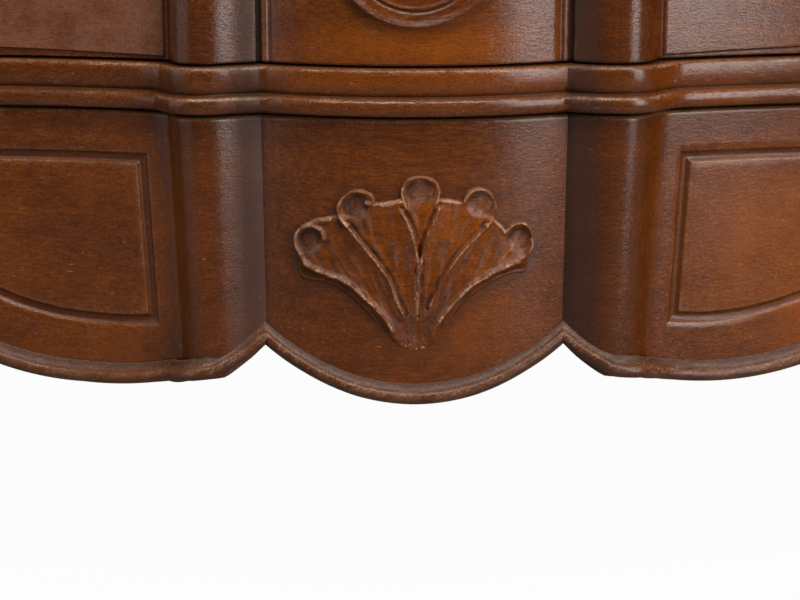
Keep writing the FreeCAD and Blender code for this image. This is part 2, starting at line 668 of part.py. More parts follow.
for side, sign in SIDES:
    tenon_x = sided(post_x, post_x + S.tenon_length, sign)
    tenon_z = (hidden_z[0] + S.tenon_shoulder, hidden_z[1] - S.tenon_shoulder)
    hidden_run = (hidden_y + S.hidden_tenon, post_back_y - S.hidden_tenon)
    tenon = board(f"hidden_{side}_tenon", tenon_x, hidden_run, tenon_z)
    pieces.append(tenon)
    tenons[side].append(tenon)
keep("front_bottom_rail", fuse("hidden_rail", *pieces))

# Side frames: a top rail and an arched apron tenoned between the posts, with a fielded panel in grooves.
frame_x = (half - S.side_setback - S.side_frame, half - S.side_setback)
frame_mid = half - S.side_setback - S.side_frame / 2
tenon_x = (frame_mid - S.tenon_thickness / 2, frame_mid + S.tenon_thickness / 2)
panel_x = (frame_mid - S.panel_thickness / 2, frame_mid + S.panel_thickness / 2)
reach = S.tenon_length * 0.8
rear_tools = {side: [] for side, _ in SIDES}
side_rails = {}
apron_z = (end_z - 4, end_z - 4 + S.apron_height)
top_side_z = (case_z - S.side_rail, case_z)
for side, sign in SIDES:
    tall = (apron_z[1] - S.panel_tongue, top_side_z[0] + S.panel_tongue)
    long = (post_back_y - S.panel_tongue, rear_y + S.panel_tongue)
    flat = board(f"{side}_panel_board", sided(*panel_x, sign), long, tall)
    inset = S.field_inset + S.panel_tongue
    field_x = sided(panel_x[1], panel_x[1] + S.panel_field, sign)
    field_y = (long[0] + inset, long[1] - inset)
    field = board(f"{side}_panel_field", field_x, field_y, (tall[0] + inset, tall[1] - inset))
    keep(f"{side}_side_panel", fuse(f"{side}_panel", flat, field))
    y0, y1 = float(post_back_y), float(rear_y)
    z0, z1 = map(float, apron_z)
    ym, zm = (y0 + y1) / 2, z0 + float(S.apron_arch)
    shape = [Part.Arc(*[FreeCAD.Vector(*p, 0) for p in ((y0, z0), (ym, zm), (y1, z0))])]
    shape += [line((y1, z0), (y1, z1)), line((y1, z1), (y0, z1)), line((y0, z1), (y0, z0))]
    apron = extrude(f"{side}_apron_board", shape, "side", *sided(*frame_x, sign))
    rail = board(f"{side}_top_rail_board", sided(*frame_x, sign), (post_back_y, rear_y), top_side_z)
    for kind, base, limits in (("apron", apron, apron_z), ("top_rail", rail, top_side_z)):
        tenon_z = (limits[0] + S.tenon_shoulder * 4, limits[1] - S.tenon_shoulder * 2)
        across = sided(*tenon_x, sign)
        fore = board(f"{side}_{kind}_fore", across, (post_back_y - reach, post_back_y), tenon_z)
        aft = board(f"{side}_{kind}_aft", across, (rear_y, rear_y + reach), tenon_z)
        tenons[side].append(fore)
        rear_tools[side].append(aft)
        whole = fuse(f"{side}_{kind}_blank", base, fore, aft)
        side_rails[side, kind] = cut(f"{side}_{kind}_grooved", whole, flat)
    tenons[side].append(flat)
    rear_tools[side].append(flat)

# Back: two rails tenoned between the rear posts and three boards in grooves.
back_run = (back_rail_y, back_rail_y + S.back_rail_thickness)
board_y = (back_rail_y + S.back_board_setback, back_rail_y + S.back_board_setback + S.back_board_thickness)
back_rail_z = {"top": (case_z - S.back_rail, case_z), "bottom": (hidden_z[0], hidden_z[0] + S.back_rail)}
boards_z = (back_rail_z["bottom"][1] - S.panel_tongue, back_rail_z["top"][0] + S.panel_tongue)
step = (boards_z[1] - boards_z[0]) / 3
board_x = rear_x + S.panel_tongue
boards = []
for i in range(3):
    limits = (boards_z[0] + step * i, boards_z[0] + step * (i + 1))
    boards.append(board(f"back_board_{i}", (-board_x, board_x), board_y, limits))
keep("back_boards", group("back_panel", boards))
back_tool = board("back_groove", (-board_x, board_x), board_y, boards_z)
back_blanks = {}
for name, limits in back_rail_z.items():
    pieces = [board(f"back_{name}_board", (-rear_x, rear_x), back_run, limits)]
    for side, sign in SIDES:
        tenon_z = (limits[0] + S.tenon_shoulder * 2, limits[1] - S.tenon_shoulder * 2)
        tenon_run = (back_run[0] + S.tenon_shoulder * 0.9, back_run[1] - S.tenon_shoulder * 0.9)
        across = sided(rear_x, rear_x + S.tenon_length * 0.6, sign)
        tenon = board(f"back_{name}_{side}_tenon", across, tenon_run, tenon_z)
        pieces.append(tenon)
        rear_tools[side].append(tenon)
    back_blanks[name] = cut(f"back_{name}_grooved", fuse(f"back_{name}_blank", *pieces), back_tool)
for side, sign in SIDES:
    rear_tools[side].append(back_tool)

# Pegs through the tenons, driven from the outside of the posts.
pegs = []
for side, sign in SIDES:
    x = (post_x + S.tenon_length / 2) * sign
    for i, low in enumerate((lower_rail_z, upper_rail_z, top_rail_z)):
        deep = tenon_y[1] - post_y + S.peg_radius
        spot = (x, post_y, low + S.rail_height / 2)
        pegs.append(rod(f"{side}_rail_peg_{i}", S.peg_radius, spot, deep, (0, 1, 0)))
    for i, limits in enumerate((apron_z, top_side_z)):
        z = (limits[0] + S.tenon_shoulder * 4 + limits[1] - S.tenon_shoulder * 2) / 2
        for place, y in (("fore", post_back_y - reach / 2), ("aft", rear_y + reach / 2)):
            deep = half - tenon_x[0] + S.peg_radius * 0.75
            spot = (half * sign, y, z)
            pegs.append(rod(f"{side}_{place}_peg_{i}", S.peg_radius, spot, deep, (-sign, 0, 0)))
keep("joint_pegs", group("pegs", pegs))
for side, sign in SIDES:
    own = [p for p in pegs if p.Name.startswith(side)]
    keep(f"{side}_front_post", cut(f"{side}_post", post_blanks[side], *tenons[side], *own))
    z = (0, case_z)
    rear = board(f"{side}_rear_blank", sided(rear_x, half, sign), (rear_y, back_y), z)
    keep(f"{side}_rear_post", cut(f"{side}_rear", rear, *rear_tools[side], *own))
    keep(f"{side}_side_apron", cut(f"{side}_apron", side_rails[side, "apron"], *own))
    keep(f"{side}_side_top_rail", cut(f"{side}_top_rail", side_rails[side, "top_rail"], *own))

# Runners with guides, dust boards in grooves, kickers over the top drawer and drawer stops.
runner_x = (end_x - S.runner_overlap, frame_x[0])
dust = {}
for name, low in (("upper", upper_rail_z), ("lower", lower_rail_z)):
    top = low + S.rail_height - S.groove
    width = runner_x[0] + S.groove
    dust_y = (rail_back_y - S.groove, rear_y)
    piece = board(f"{name}_dust_board", (-width, width), dust_y, (top - S.dust_board, top))
    dust[name] = keep(f"{name}_dust_board", piece)
levels = {
    "top": (upper_rail_z + S.rail_height, rail_back_y, "upper"),
    "middle": (lower_rail_z + S.rail_height, rail_back_y, "lower"),
    "bottom": (hidden_z[1], hidden_y + S.rail_depth, None),
}
stops = []
for name, (top, start, cover) in levels.items():
    pair = []
    for side, sign in SIDES:
        across = sided(*runner_x, sign)
        runner_z = (top - S.runner_thickness, top)
        flat = board(f"{name}_{side}_runner_flat", across, (start, rear_y), runner_z)
        guide_x = sided(end_x + S.guide_gap, runner_x[1], sign)
        guide = board(f"{name}_{side}_guide", guide_x, (start, rear_y), (top, top + S.guide_height))
        runner = fuse(f"{name}_{side}_runner_blank", flat, guide)
        pair.append(cut(f"{name}_{side}_runner", runner, dust[cover]) if cover else runner)
        stop_x = sided(S.hollow_distance - S.stop_width / 2, S.hollow_distance + S.stop_width / 2, sign)
        near = seat_y + S.slide_gap if cover else hidden_y
        stop_y = (near, near + S.stop_depth)
        stops.append(board(f"{name}_{side}_stop", stop_x, stop_y, (top, top + S.stop_height)))
    keep(f"{name}_drawer_runners", group(f"{name}_runners", pair))
keep("drawer_stops", group("stops", stops))
kickers = []
for side, sign in SIDES:
    limits = (top_rail_z, top_rail_z + S.runner_thickness)
    kickers.append(board(f"{side}_kicker", sided(*runner_x, sign), (rail_back_y, rear_y), limits))
keep("top_drawer_kickers", group("kickers", kickers))

# Top board with a moulded edge, and the screws that hold it through the front and back rails.
screws, bores = [], []
screw_rows = (
    ("fore", rail_back_y - S.screw_inset, top_rail_z + S.screw_sink),
    ("aft", back_rail_y + S.back_rail_setback, case_z - S.back_rail * 0.5),
)
for i, x in enumerate((-half * 0.6, half * 0, half * 0.6)):
    for place, y, low in screw_rows:
        shank_length = case_z - low + S.top_thickness * 0.6
        wide = S.screw_radius * 2
        head = rod(f"{place}_screw_head_{i}", wide, (x, y, low), S.screw_head, (0, 0, 1))
        shank = rod(f"{place}_screw_shank_{i}", S.screw_radius, (x, y, low), shank_length, (0, 0, 1))
        screws.append(fuse(f"{place}_screw_{i}", head, shank))
        bores.append(rod(f"{place}_screw_bore_{i}", wide, (x, y, low - S.back_rail), S.back_rail, (0, 0, 1)))
keep("top_screws", group("screws", screws))
tx, ty, tr = float(half + S.top_side_overhang), float(S.overall_depth / 2), float(S.top_corner)


def top_plan(offset):
    """Plan of the top board at an offset from the drawer fronts, with rounded front corners."""
    inset = float(S.top_overhang) - offset
    run, corner = front_line(offset)
    x, y = tx - inset, corner[1]
    right = [line((x, ty), (x, y + tr)), arc((x, y + tr), (x - tr, y), (x - tr, y + tr), 1)]
    right += [line((x - tr, y), corner)]
    left = [line(flipped(corner, -1), (tr - x, y)), arc((tr - x, y), (-x, y + tr), (tr - x, y + tr), 1)]
    return right + run + left + [line((-x, y + tr), (-x, ty)), line((-x, ty), (x, ty))]


lip_z = case_z + S.top_thickness * 0.35
under = extrude("top_under", top_plan(float(S.top_overhang) * 0.7), "plan", case_z, lip_z)
over = extrude("top_over", top_plan(float(S.top_overhang)), "plan", lip_z, all_z)
keep("top_board", cut("top", fuse("top_blank", under, over), *screws))
for name in RAILS:
    tools = list(pegs[0:3] + pegs[7:10])
    if name == "lower_drawer_rail":
        tools.append(dust["lower"])
    elif name == "upper_drawer_rail":
        tools.append(dust["upper"])
    else:
        tools += [t for t in screws + bores if t.Name.startswith("fore")]
    keep(name, cut(name + "_cut", rails[name], *tools))
aft = [t for t in screws + bores if t.Name.startswith("aft")]
keep("back_top_rail", cut("back_top", back_blanks["top"], *aft))
keep("back_bottom_rail", back_blanks["bottom"])

doc.recompute()
faults = []
for thing in doc.Objects:
    if any(word in thing.State for word in ("Invalid", "Error")):
        faults.append(f"{thing.Label}: {thing.State}")
for label, thing in nodes.items():
    if thing.Shape.isNull() or not thing.Shape.isValid() or not thing.Shape.Solids:
        faults.append(f"{label}: no valid solid")
if faults:
    raise SystemExit("\n".join(faults))
os.makedirs("parts", exist_ok=True)
for label, thing in nodes.items():
    thing.Shape.exportStep(f"parts/{label}.step")
print(len(nodes), "nodes")
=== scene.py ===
import math
import bpy
import numpy as np
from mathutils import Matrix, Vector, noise


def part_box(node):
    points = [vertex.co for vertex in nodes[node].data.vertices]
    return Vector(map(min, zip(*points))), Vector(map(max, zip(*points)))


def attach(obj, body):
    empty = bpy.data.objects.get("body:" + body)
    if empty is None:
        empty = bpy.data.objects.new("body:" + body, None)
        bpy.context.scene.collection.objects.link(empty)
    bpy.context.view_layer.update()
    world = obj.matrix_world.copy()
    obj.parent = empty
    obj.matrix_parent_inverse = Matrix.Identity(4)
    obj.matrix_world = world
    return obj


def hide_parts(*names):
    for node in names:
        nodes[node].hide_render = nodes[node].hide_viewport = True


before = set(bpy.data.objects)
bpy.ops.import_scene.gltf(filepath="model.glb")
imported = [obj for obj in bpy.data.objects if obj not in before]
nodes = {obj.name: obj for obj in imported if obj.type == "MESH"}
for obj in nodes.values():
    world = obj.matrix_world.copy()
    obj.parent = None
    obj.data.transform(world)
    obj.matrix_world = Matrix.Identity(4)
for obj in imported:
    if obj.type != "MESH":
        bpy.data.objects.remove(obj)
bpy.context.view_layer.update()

# Front posts: two walnut posts with a rounded outer corner, which run down into short curved legs.
# Each is sawn from one plank, shaped with a spokeshave and mortised for the rails and side frames.
# They are stained and polished with the front, and rubbed pale along their corners.
mm = 0.001


def srgb(red, green, blue):
    """A colour as it is seen on a screen, for a shader."""
    linear = [((c / 255 + 0.055) / 1.055) ** 2.4 for c in (red, green, blue)]
    return (*linear, 1.0)


class Shade:
    """A socket of a material's nodes, so that shader maths reads as arithmetic."""

    def __init__(self, tree, socket=None):
        self.tree = tree
        self.socket = socket

    def node(self, kind, settings, values, out=0):
        made = self.tree.nodes.new("ShaderNode" + kind)
        for name, setting in settings.items():
            if name == "stops":
                ramp = made.color_ramp.elements
                while len(ramp) < len(setting):
                    ramp.new(0.5)
                for stop, (place, colour) in zip(ramp, setting):
                    stop.position = place
                    stop.color = colour
            else:
                setattr(made, name, setting)
        self.fill(made.inputs, values)
        return Shade(self.tree, made.outputs[out])

    def fill(self, inputs, values):
        """Links or sets the inputs of a node."""
        for name, value in values.items():
            if isinstance(value, Shade):
                self.tree.links.new(value.socket, inputs[name])
            else:
                inputs[name].default_value = value

    def maths(self, operation, first, second=0.0, clamp=False):
        settings = {"operation": operation, "use_clamp": clamp}
        return self.node("Math", settings, {0: first, 1: second})

    def __add__(self, other):
        return self.maths("ADD", self, other)

    def __mul__(self, other):
        return self.maths("MULTIPLY", self, other)

    __radd__ = __add__

    def mark(self, name):
        """The value that a piece keeps for each of its points under a name."""
        return self.node("Attribute", {"attribute_name": name}, {}, "Fac")

    def between(self, low, high):
        """0 below the first limit, 1 above the second, smooth on the way."""
        span = {"interpolation_type": "SMOOTHSTEP"}
        return self.node("MapRange", span, {"Value": self, "From Min": low, "From Max": high})

    def mixed(self, mask, first, second):
        """The first colour where the mask is 0 and the second where it is 1."""
        return self.node("Mix", {"data_type": "RGBA"}, {0: mask, 6: first, 7: second}, 2)

    def noise(self, stretch, detail=3.0, rough=0.55, bend=0.0):
        """Cloudy noise on a stretched copy of this vector."""
        scaled = self.node("VectorMath", {"operation": "MULTIPLY"}, {0: self, 1: stretch})
        values = {"Vector": scaled, "Scale": 1.0, "Detail": detail, "Roughness": rough, "Distortion": bend}
        return self.node("TexNoise", {}, values)


def new_finish(name):
    """An empty material with its shader, and a Shade to build on."""
    finish = bpy.data.materials.new(name)
    finish.use_nodes = True
    tree = finish.node_tree
    shader = tree.nodes["Principled BSDF"]
    return finish, Shade(tree), shader


def along_grain(axis, lengthwise, across):
    return tuple(lengthwise if i == axis else across for i in range(3))


def polished_walnut(
    name, axis, seed, worn=0.16, dust=0.1, dirt_and_shade=0.4, sheen=0.11, gloss=0.26, bared=(184, 146, 114)
):
    """Old walnut under worn polish: streaked grain, orange patches, grime with painted shade in corners and
    creases, rubbed edges with painted highlights on carved crests, and a painted sheen on some fields.
    """
    finish, pen, shader = new_finish(name)
    place = pen.node("TexCoord", {}, {}, "Object")
    away = (seed, seed * 0.7, seed * 1.3)
    place = pen.node("VectorMath", {"operation": "ADD"}, {0: place, 1: away})
    figure = place.noise(along_grain(axis, 4.0, 75.0), 5.0, 0.6, 0.35)
    streak = place.noise(along_grain(axis, 75.0, 640.0), 3.0, 0.7)
    fleck = place.noise(along_grain(axis, 230.0, 1150.0), 2.0, 0.6)
    patch = place.noise((6.5, 6.5, 8.0), 4.0, 0.6)
    blotch = place.noise((46.0, 46.0, 46.0), 5.0, 0.65)
    speck = place.noise((700.0, 700.0, 700.0), 3.0, 0.65)
    tone = figure * 0.24 + streak * 0.42 + blotch * 0.08 + speck * 0.26
    browns = ((0.36, (54, 22, 3)), (0.47, (79, 36, 5)), (0.54, (92, 43, 7)), (0.66, (120, 64, 16)))
    stops = [(at, srgb(*brown)) for at, brown in browns]
    colour = pen.node("ValToRGB", {"stops": stops}, {0: tone})
    warm = patch.between(0.5, 0.72) * 0.3 + pen.mark("faded") * (0.2 + blotch * 0.6)
    colour = pen.mixed(warm, colour, srgb(136, 68, 10))
    # Painted sheen on the upper fronts' raised fields, where a reflection would show; on the carving the same
    # mark is dust in its hollows.
    dust_and_sheen = pen.mark("hazed") * (1.3 + blotch.between(0.42, 0.66) * -0.8)
    colour = pen.mixed(dust_and_sheen, colour, srgb(128, 86, 68))
    pores = fleck.between(0.56, 0.7)
    dark = fleck.between(0.52, 0.34) * 0.4 + pores * 0.45 + pen.mark("stained") * (0.08 + blotch * 0.4)
    colour = pen.mixed(dark, colour, srgb(40, 17, 4))
    # Painted shade with grime: ambient occlusion and the mark of inward folds darken corners, creases and
    # hollows towards a near-black brown.
    corner = pen.node("AmbientOcclusion", {"samples": 8}, {"Distance": 0.009}, "AO")
    grime = pen.mark("grime").between(0.2, 1.0) * dirt_and_shade
    soil_and_shade = pen.maths("ADD", corner.between(0.6, 0.1) * 0.5, grime, True)
    # Painted shade as well as soot: column flanks, the underside and cove of the edge bead, and a ring round
    # the carving are darkened and dulled.
    soot_and_shade_mix = pen.mark("sooty") * (0.3 + streak * 0.5)
    soil_and_shade = pen.maths("ADD", soil_and_shade * (0.45 + blotch * 0.9), soot_and_shade_mix, True)
    colour = pen.mixed(soil_and_shade, colour, srgb(30, 15, 7))
    # Wear with painted highlights: marked edges and the carving's crests are lightened towards the bare-wood
    # tan.
    worn_and_highlit = pen.mark("rubbed").between(0.35, 0.95) * (0.25 + speck.between(0.42, 0.6) * 0.75)
    worn_and_highlit = worn_and_highlit * blotch.between(0.3, 0.58)
    scuff = pen.mark("scuffed") * (0.12 + speck.between(0.46, 0.6) * 0.5)
    colour = pen.mixed(pen.maths("ADD", worn_and_highlit * worn, scuff, True), colour, srgb(*bared))
    chips = place.noise(along_grain(axis, 110.0, 420.0), 3.0, 0.7).between(0.66, 0.72)
    chips = chips * patch.between(0.46, 0.56)
    # Dust with painted sheen: faces that turn upwards are lightened, as light from above would show on them.
    facing = pen.node("NewGeometry", {}, {}, "Normal")
    upward = pen.node("SeparateXYZ", {}, {0: facing}, 2).between(0.3, 0.8)
    settled_dust_and_sheen = upward * (0.45 + speck.between(0.35, 0.65) * 0.55) * dust
    colour = pen.mixed(pen.maths("ADD", chips * 0.35, settled_dust_and_sheen, True), colour, srgb(158, 132, 112))
    rough = sheen + blotch.between(0.3, 0.75) * 0.12 + soil_and_shade * 0.55 + worn_and_highlit * 0.08 + settled_dust_and_sheen * 0.3
    height = streak * 0.5 + fleck * 0.3 + blotch * 0.9 + speck * 0.35 + pores * -0.3
    bump = pen.node("Bump", {}, {"Strength": 0.36, "Distance": 0.0006, "Height": height})
    looks = {"Base Color": colour, "Roughness": rough, "Normal": bump, "Specular IOR Level": gloss}
    pen.fill(shader.inputs, looks)
    return finish


WALNUT_ACROSS = polished_walnut("polished_walnut_across", 0, 0.0)
WALNUT_UPRIGHT = polished_walnut("polished_walnut_upright", 2, 0.37)
WALNUT_DEEP = polished_walnut("polished_walnut_front_to_back", 1, 0.61)
WALNUT_TOP = polished_walnut("polished_walnut_top", 0, 0.24, 0.3, 0.02, sheen=0.36, gloss=0.1)


def edit_mode(on):
    bpy.ops.object.mode_set(mode="EDIT" if on else "OBJECT")


def pick(piece):
    """Selects a piece alone, for the operators."""
    bpy.ops.object.select_all(action="DESELECT")
    piece.select_set(True)
    bpy.context.view_layer.objects.active = piece


def laid_grid(name, rows):
    """A grid primitive whose points are laid on rows of places, in millimetres, seen from outside."""
    rows = np.asarray(rows, float) * mm
    bpy.ops.object.select_all(action="DESELECT")
    high, wide = rows.shape[:2]
    bpy.ops.mesh.primitive_grid_add(x_subdivisions=wide - 1, y_subdivisions=high - 1, size=1.0)
    piece = bpy.context.object
    piece.name = name
    piece.data.name = name
    piece.data.vertices.foreach_set("co", rows.reshape(-1))
    piece.data.update()
    return piece


def at_height(line, z):
    """Places of a plan line, all at one height."""
    return np.c_[line, np.full(len(line), z)]


def close_rim(piece, move=None):
    """Merges seams, draws the open rim back where a move is given, and closes each open loop."""
    edit_mode(True)
    bpy.ops.mesh.select_mode(type="EDGE")
    bpy.ops.mesh.select_all(action="SELECT")
    bpy.ops.mesh.remove_doubles(threshold=0.00002)
    if move is not None:
        bpy.ops.mesh.select_all(action="DESELECT")
        bpy.ops.mesh.select_non_manifold(
            use_wire=False, use_multi_face=False, use_non_contiguous=False, use_verts=False
        )
        bpy.ops.mesh.extrude_region_move()
        edit_mode(False)
        for point in piece.data.vertices:
            if point.select:
                point.co = move(point.co)
        edit_mode(True)
    bpy.ops.mesh.select_all(action="SELECT")
    bpy.ops.mesh.fill_holes(sides=0)
    bpy.ops.mesh.normals_make_consistent(inside=False)
    edit_mode(False)


def places_of(piece):
    """The places of a piece's points, in metres."""
    at = np.empty(len(piece.data.vertices) * 3)
    piece.data.vertices.foreach_get("co", at)
    return at.reshape(-1, 3)


def write_mark(piece, name, level):
    """Keeps a value for each point of a piece, which its material reads by name."""
    layer = piece.data.attributes.new(name, "FLOAT", "POINT")
    layer.data.foreach_set("value", np.ravel(level).astype(np.float32))


def mark_wear(piece, radius, spread=3):
    """Writes how far each point stands out or lies in, for rubbed edges, and for grime with painted shade in
    creases; radius is in mm.
    """
    mesh = piece.data
    count = len(mesh.vertices)
    at = places_of(piece)
    out = np.empty(count * 3)
    mesh.vertex_normals.foreach_get("vector", out)
    out = out.reshape(-1, 3)
    ends = np.empty(len(mesh.edges) * 2, int)
    mesh.edges.foreach_get("vertices", ends)
    a, b = ends.reshape(-1, 2).T
    step = at[b] - at[a]
    square = np.maximum((step * step).sum(1), 1e-10)
    rise, fall = (2 * (out[end] * step).sum(1) / square for end in (a, b))
    bend, fold = np.zeros(count), np.zeros(count)
    for curve, sign in ((bend, -1), (fold, 1)):
        np.maximum.at(curve, a, sign * rise)
        np.maximum.at(curve, b, -sign * fall)
    near = np.maximum(np.bincount(a, minlength=count) + np.bincount(b, minlength=count), 1)
    for label, curve in (("rubbed", bend - fold), ("grime", fold - bend)):
        level = np.clip(curve * radius * mm, 0, 1)
        for _ in range(spread):
            total = np.bincount(a, level[b], count) + np.bincount(b, level[a], count)
            level = np.maximum(level * 0.75, 0.5 * level + 0.5 * total / near)
        write_mark(piece, label, level)


def mark_column_shade(piece, ground=0.0):
    """Marks soot and painted shade on the inner flank of each column, and a darker tone over the columns and,
    at the given level, the ground.
    """
    across = places_of(piece)[:, 0] / mm
    level = np.interp(across, (97.0, 102.0, 116.0, 131.0), (0.0, 1.0, 0.9, 0.0))
    level += np.interp(-across, (97.0, 101.0, 112.0, 124.0), (0.0, 1.0, 0.9, 0.0))
    column = np.interp(abs(across), (98.0, 104.0, 154.0, 164.0), (ground, 1.0, 1.0, ground))
    write_mark(piece, "sooty", level)
    write_mark(piece, "stained", column)


def to_seat(point):
    """Where the back of a drawer front lies, a hair short of the ends so that the dovetails show."""
    widest = 531.7 * mm
    return max(-widest, min(widest, point.x)), seat_y * mm, point.z


def mark_scuffs(piece, rows, weights, seed):
    """Marks the broken lines of wear along the proud edges of a moulding, by the weight of each row."""
    at = np.asarray(rows).reshape(-1, 3)
    long = np.array([noise.noise((x * 0.013, seed, z)) for x, _, z in at])
    short = np.array([noise.noise((x * 0.12, seed, z)) for x, _, z in at])
    level = np.clip(0.14 + 1.2 * long + 0.8 * short, 0, 1)
    write_mark(piece, "scuffed", level * np.repeat(weights, len(rows[0])))


def mark_faded(piece, middle, tall, *patches):
    """Marks where polish has faded to orange, by the middle, reach and share of each patch in mm."""
    x, _, z = places_of(piece).T / mm
    level = sum(share * np.exp(-((x - centre) / wide) ** 4) for centre, wide, share in patches)
    write_mark(piece, "faded", level * np.exp(-((z - middle) / tall) ** 2))


def paint(piece, finish):
    piece.data.materials.clear()
    piece.data.materials.append(finish)


def finish_piece(piece, body, finish, slot, *replaced, smooth=35.0):
    """Shades, paints and hangs a finished piece on its body in place of its CAD nodes."""
    pick(piece)
    bpy.ops.object.shade_smooth_by_angle(angle=math.radians(smooth))
    paint(piece, finish)
    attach(piece, body)
    if replaced:
        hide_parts(*replaced)
    return piece


post_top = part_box("right_front_post")[1].z / mm
LEG = (
    (0.0, 0.56, 9.0), (0.06, 0.62, 10.0), (0.2, 0.5, 2.0), (0.45, 0.6, -2.0), (0.76, 0.86, 5.0),
    (1.0, 1.0, 0.0),
)
leg_top = 222.0
leg_blur = (-0.06, -0.03, 0.0, 0.03, 0.06)
post_size = 72.0
post_corner, post_ease = 26.0, 2.5
post_outer = 606.0
post_front = -255.0


def eased_square(half_side, corner, ease, steps):
    """Round-cornered square, with its large corner to the front and right."""
    run = []
    for turn, radius in ((-45, corner), (45, ease), (135, ease), (225, ease)):
        sx = math.copysign(1, math.cos(math.radians(turn)))
        sy = math.copysign(1, math.sin(math.radians(turn)))
        cx, cy = sx * (half_side - radius), sy * (half_side - radius)
        for i in range(steps + 1):
            angle = math.radians(turn - 45 + 90 * i / steps)
            run.append((cx + radius * math.cos(angle), cy + radius * math.sin(angle)))
    return run


def front_post(side, sign):
    heights, scales, shifts = np.transpose(LEG)
    rows = []
    for z in [*np.linspace(0, leg_top, 30), *np.linspace(leg_top, post_top, 12)[1:]]:
        near = np.clip(np.add(min(z / leg_top, 1.0), leg_blur), 0, 1)
        scale = np.interp(near, heights, scales).mean()
        shift = np.interp(near, heights, shifts).mean() / math.sqrt(2)
        ring = eased_square(post_size / 2 * scale, post_corner * scale, post_ease * scale, 8)
        mx = post_outer - post_size / 2 + shift
        my = post_front + post_size / 2 - shift
        run = [(sign * (mx + x), my + y, z) for x, y in ring][::sign]
        rows.append(run + run[:1])
    piece = laid_grid(f"{side}_post_and_leg", rows)
    close_rim(piece)
    mark_wear(piece, 14.0)
    return finish_piece(piece, "carcase", WALNUT_UPRIGHT, "show_wood", f"{side}_front_post")


front_post("left", -1)
front_post("right", 1)

# Side frames and back: walnut rails and aprons tenoned between the posts round a fielded panel,
# with plainer rails and three oak boards at the back. All are planed, pegged and eased by hand.


def eased_copy(node, body, finish, slot, ease=1.2):
    """A merged copy of a CAD board with its sharp edges eased, in place of the node."""
    piece = nodes[node].copy()
    piece.data = nodes[node].data.copy()
    for key in list(piece.keys()):
        del piece[key]
    piece.parent = None
    bpy.context.scene.collection.objects.link(piece)
    piece.name = node + "_eased"
    pick(piece)
    edit_mode(True)
    bpy.ops.mesh.select_all(action="SELECT")
    bpy.ops.mesh.remove_doubles(threshold=0.00001)
    bpy.ops.mesh.dissolve_limited(angle_limit=math.radians(1))
    edit_mode(False)
    bpy.ops.mesh.customdata_custom_splitnormals_clear()
    bevel = piece.modifiers.new("eased", "BEVEL")
    bevel.width = ease * mm
    bevel.segments = 3
    bevel.limit_method = "ANGLE"
    bevel.angle_limit = math.radians(40)
    bpy.ops.object.modifier_apply(modifier="eased")
    mark_wear(piece, 1.5, 1)
    return finish_piece(piece, body, finish, slot, node)


def plain_wood(name, axis, dull, pale, seed):
    """Unpolished wood of the inside: dry, pale and streaked along its grain."""
    finish, pen, shader = new_finish(name)
    place = pen.node("TexCoord", {}, {}, "Object")
    place = pen.node("VectorMath", {"operation": "ADD"}, {0: place, 1: (seed, seed, seed)})
    figure = place.noise(along_grain(axis, 2.6, 40.0), 5.0, 0.6, 0.4)
    fibre = place.noise(along_grain(axis, 18.0, 500.0), 4.0, 0.65)
    stain = place.noise((7.0, 7.0, 7.0), 4.0, 0.6)
    stops = [(0.3, dull), (0.7, pale)]
    colour = pen.node("ValToRGB", {"stops": stops}, {0: figure * 0.6 + fibre * 0.4})
    # Painted shade: ambient occlusion darkens corners and joints of the inside wood, along with its stains.
    corner = pen.node("AmbientOcclusion", {"samples": 8}, {"Distance": 0.02}, "AO")
    soil_and_shade = stain.between(0.5, 0.8) * 0.4 + corner.between(0.8, 0.3) * 0.4
    colour = pen.mixed(soil_and_shade, colour, srgb(58, 39, 24))
    bump = pen.node("Bump", {}, {"Strength": 0.3, "Distance": 0.0005, "Height": fibre})
    rough = 0.62 + stain * 0.2
    pen.fill(shader.inputs, {"Base Color": colour, "Roughness": rough, "Normal": bump})
    return finish


OAK_ACROSS = plain_wood("dry_oak_across", 0, srgb(126, 88, 54), srgb(178, 136, 90), 0.2)
OAK_DEEP = plain_wood("dry_oak_front_to_back", 1, srgb(122, 86, 53), srgb(174, 132, 88), 0.5)
BACK_OAK = plain_wood("dark_back_oak", 0, srgb(96, 66, 40), srgb(136, 100, 64), 0.8)
for side in ("left", "right"):
    for node in (f"{side}_side_top_rail", f"{side}_side_apron", f"{side}_side_panel"):
        eased_copy(node, "carcase", WALNUT_DEEP, "show_wood")
    eased_copy(f"{side}_rear_post", "carcase", WALNUT_UPRIGHT, "show_wood")
for node in ("back_top_rail", "back_bottom_rail", "back_boards"):
    eased_copy(node, "carcase", BACK_OAK, "inner_wood")

# Front rails: three moulded walnut rails that follow the serpentine front, each a shallow rounded
# band over a projecting bead, worked with a scratch stock and tenoned into the posts.
seat_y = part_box("bottom_drawer_front")[1].y / mm
valley_x, crease_x, hollow_x, end_x, post_x = 101.0, 161.0, 340.0, 532.0, 534.0
centre_d, valley_d, crease_d, hollow_d, end_d = 80.0, 58.0, 49.0, 22.0, 44.0
column_bulge = 16.5
left_lean, right_lean = 4.6, 2.0
crease_slant = math.radians(49)


def meet(c1, r1, c2, r2, near):
    """The crossing of two circles nearest to a point."""
    gap = math.dist(c1, c2)
    along = (gap * gap + r1 * r1 - r2 * r2) / (2 * gap)
    across = math.sqrt(r1 * r1 - along * along)
    ux, uy = (c2[0] - c1[0]) / gap, (c2[1] - c1[1]) / gap
    mid = (c1[0] + along * ux, c1[1] + along * uy)
    both = [(mid[0] - s * across * uy, mid[1] + s * across * ux) for s in (1, -1)]
    return min(both, key=lambda p: math.dist(p, near))


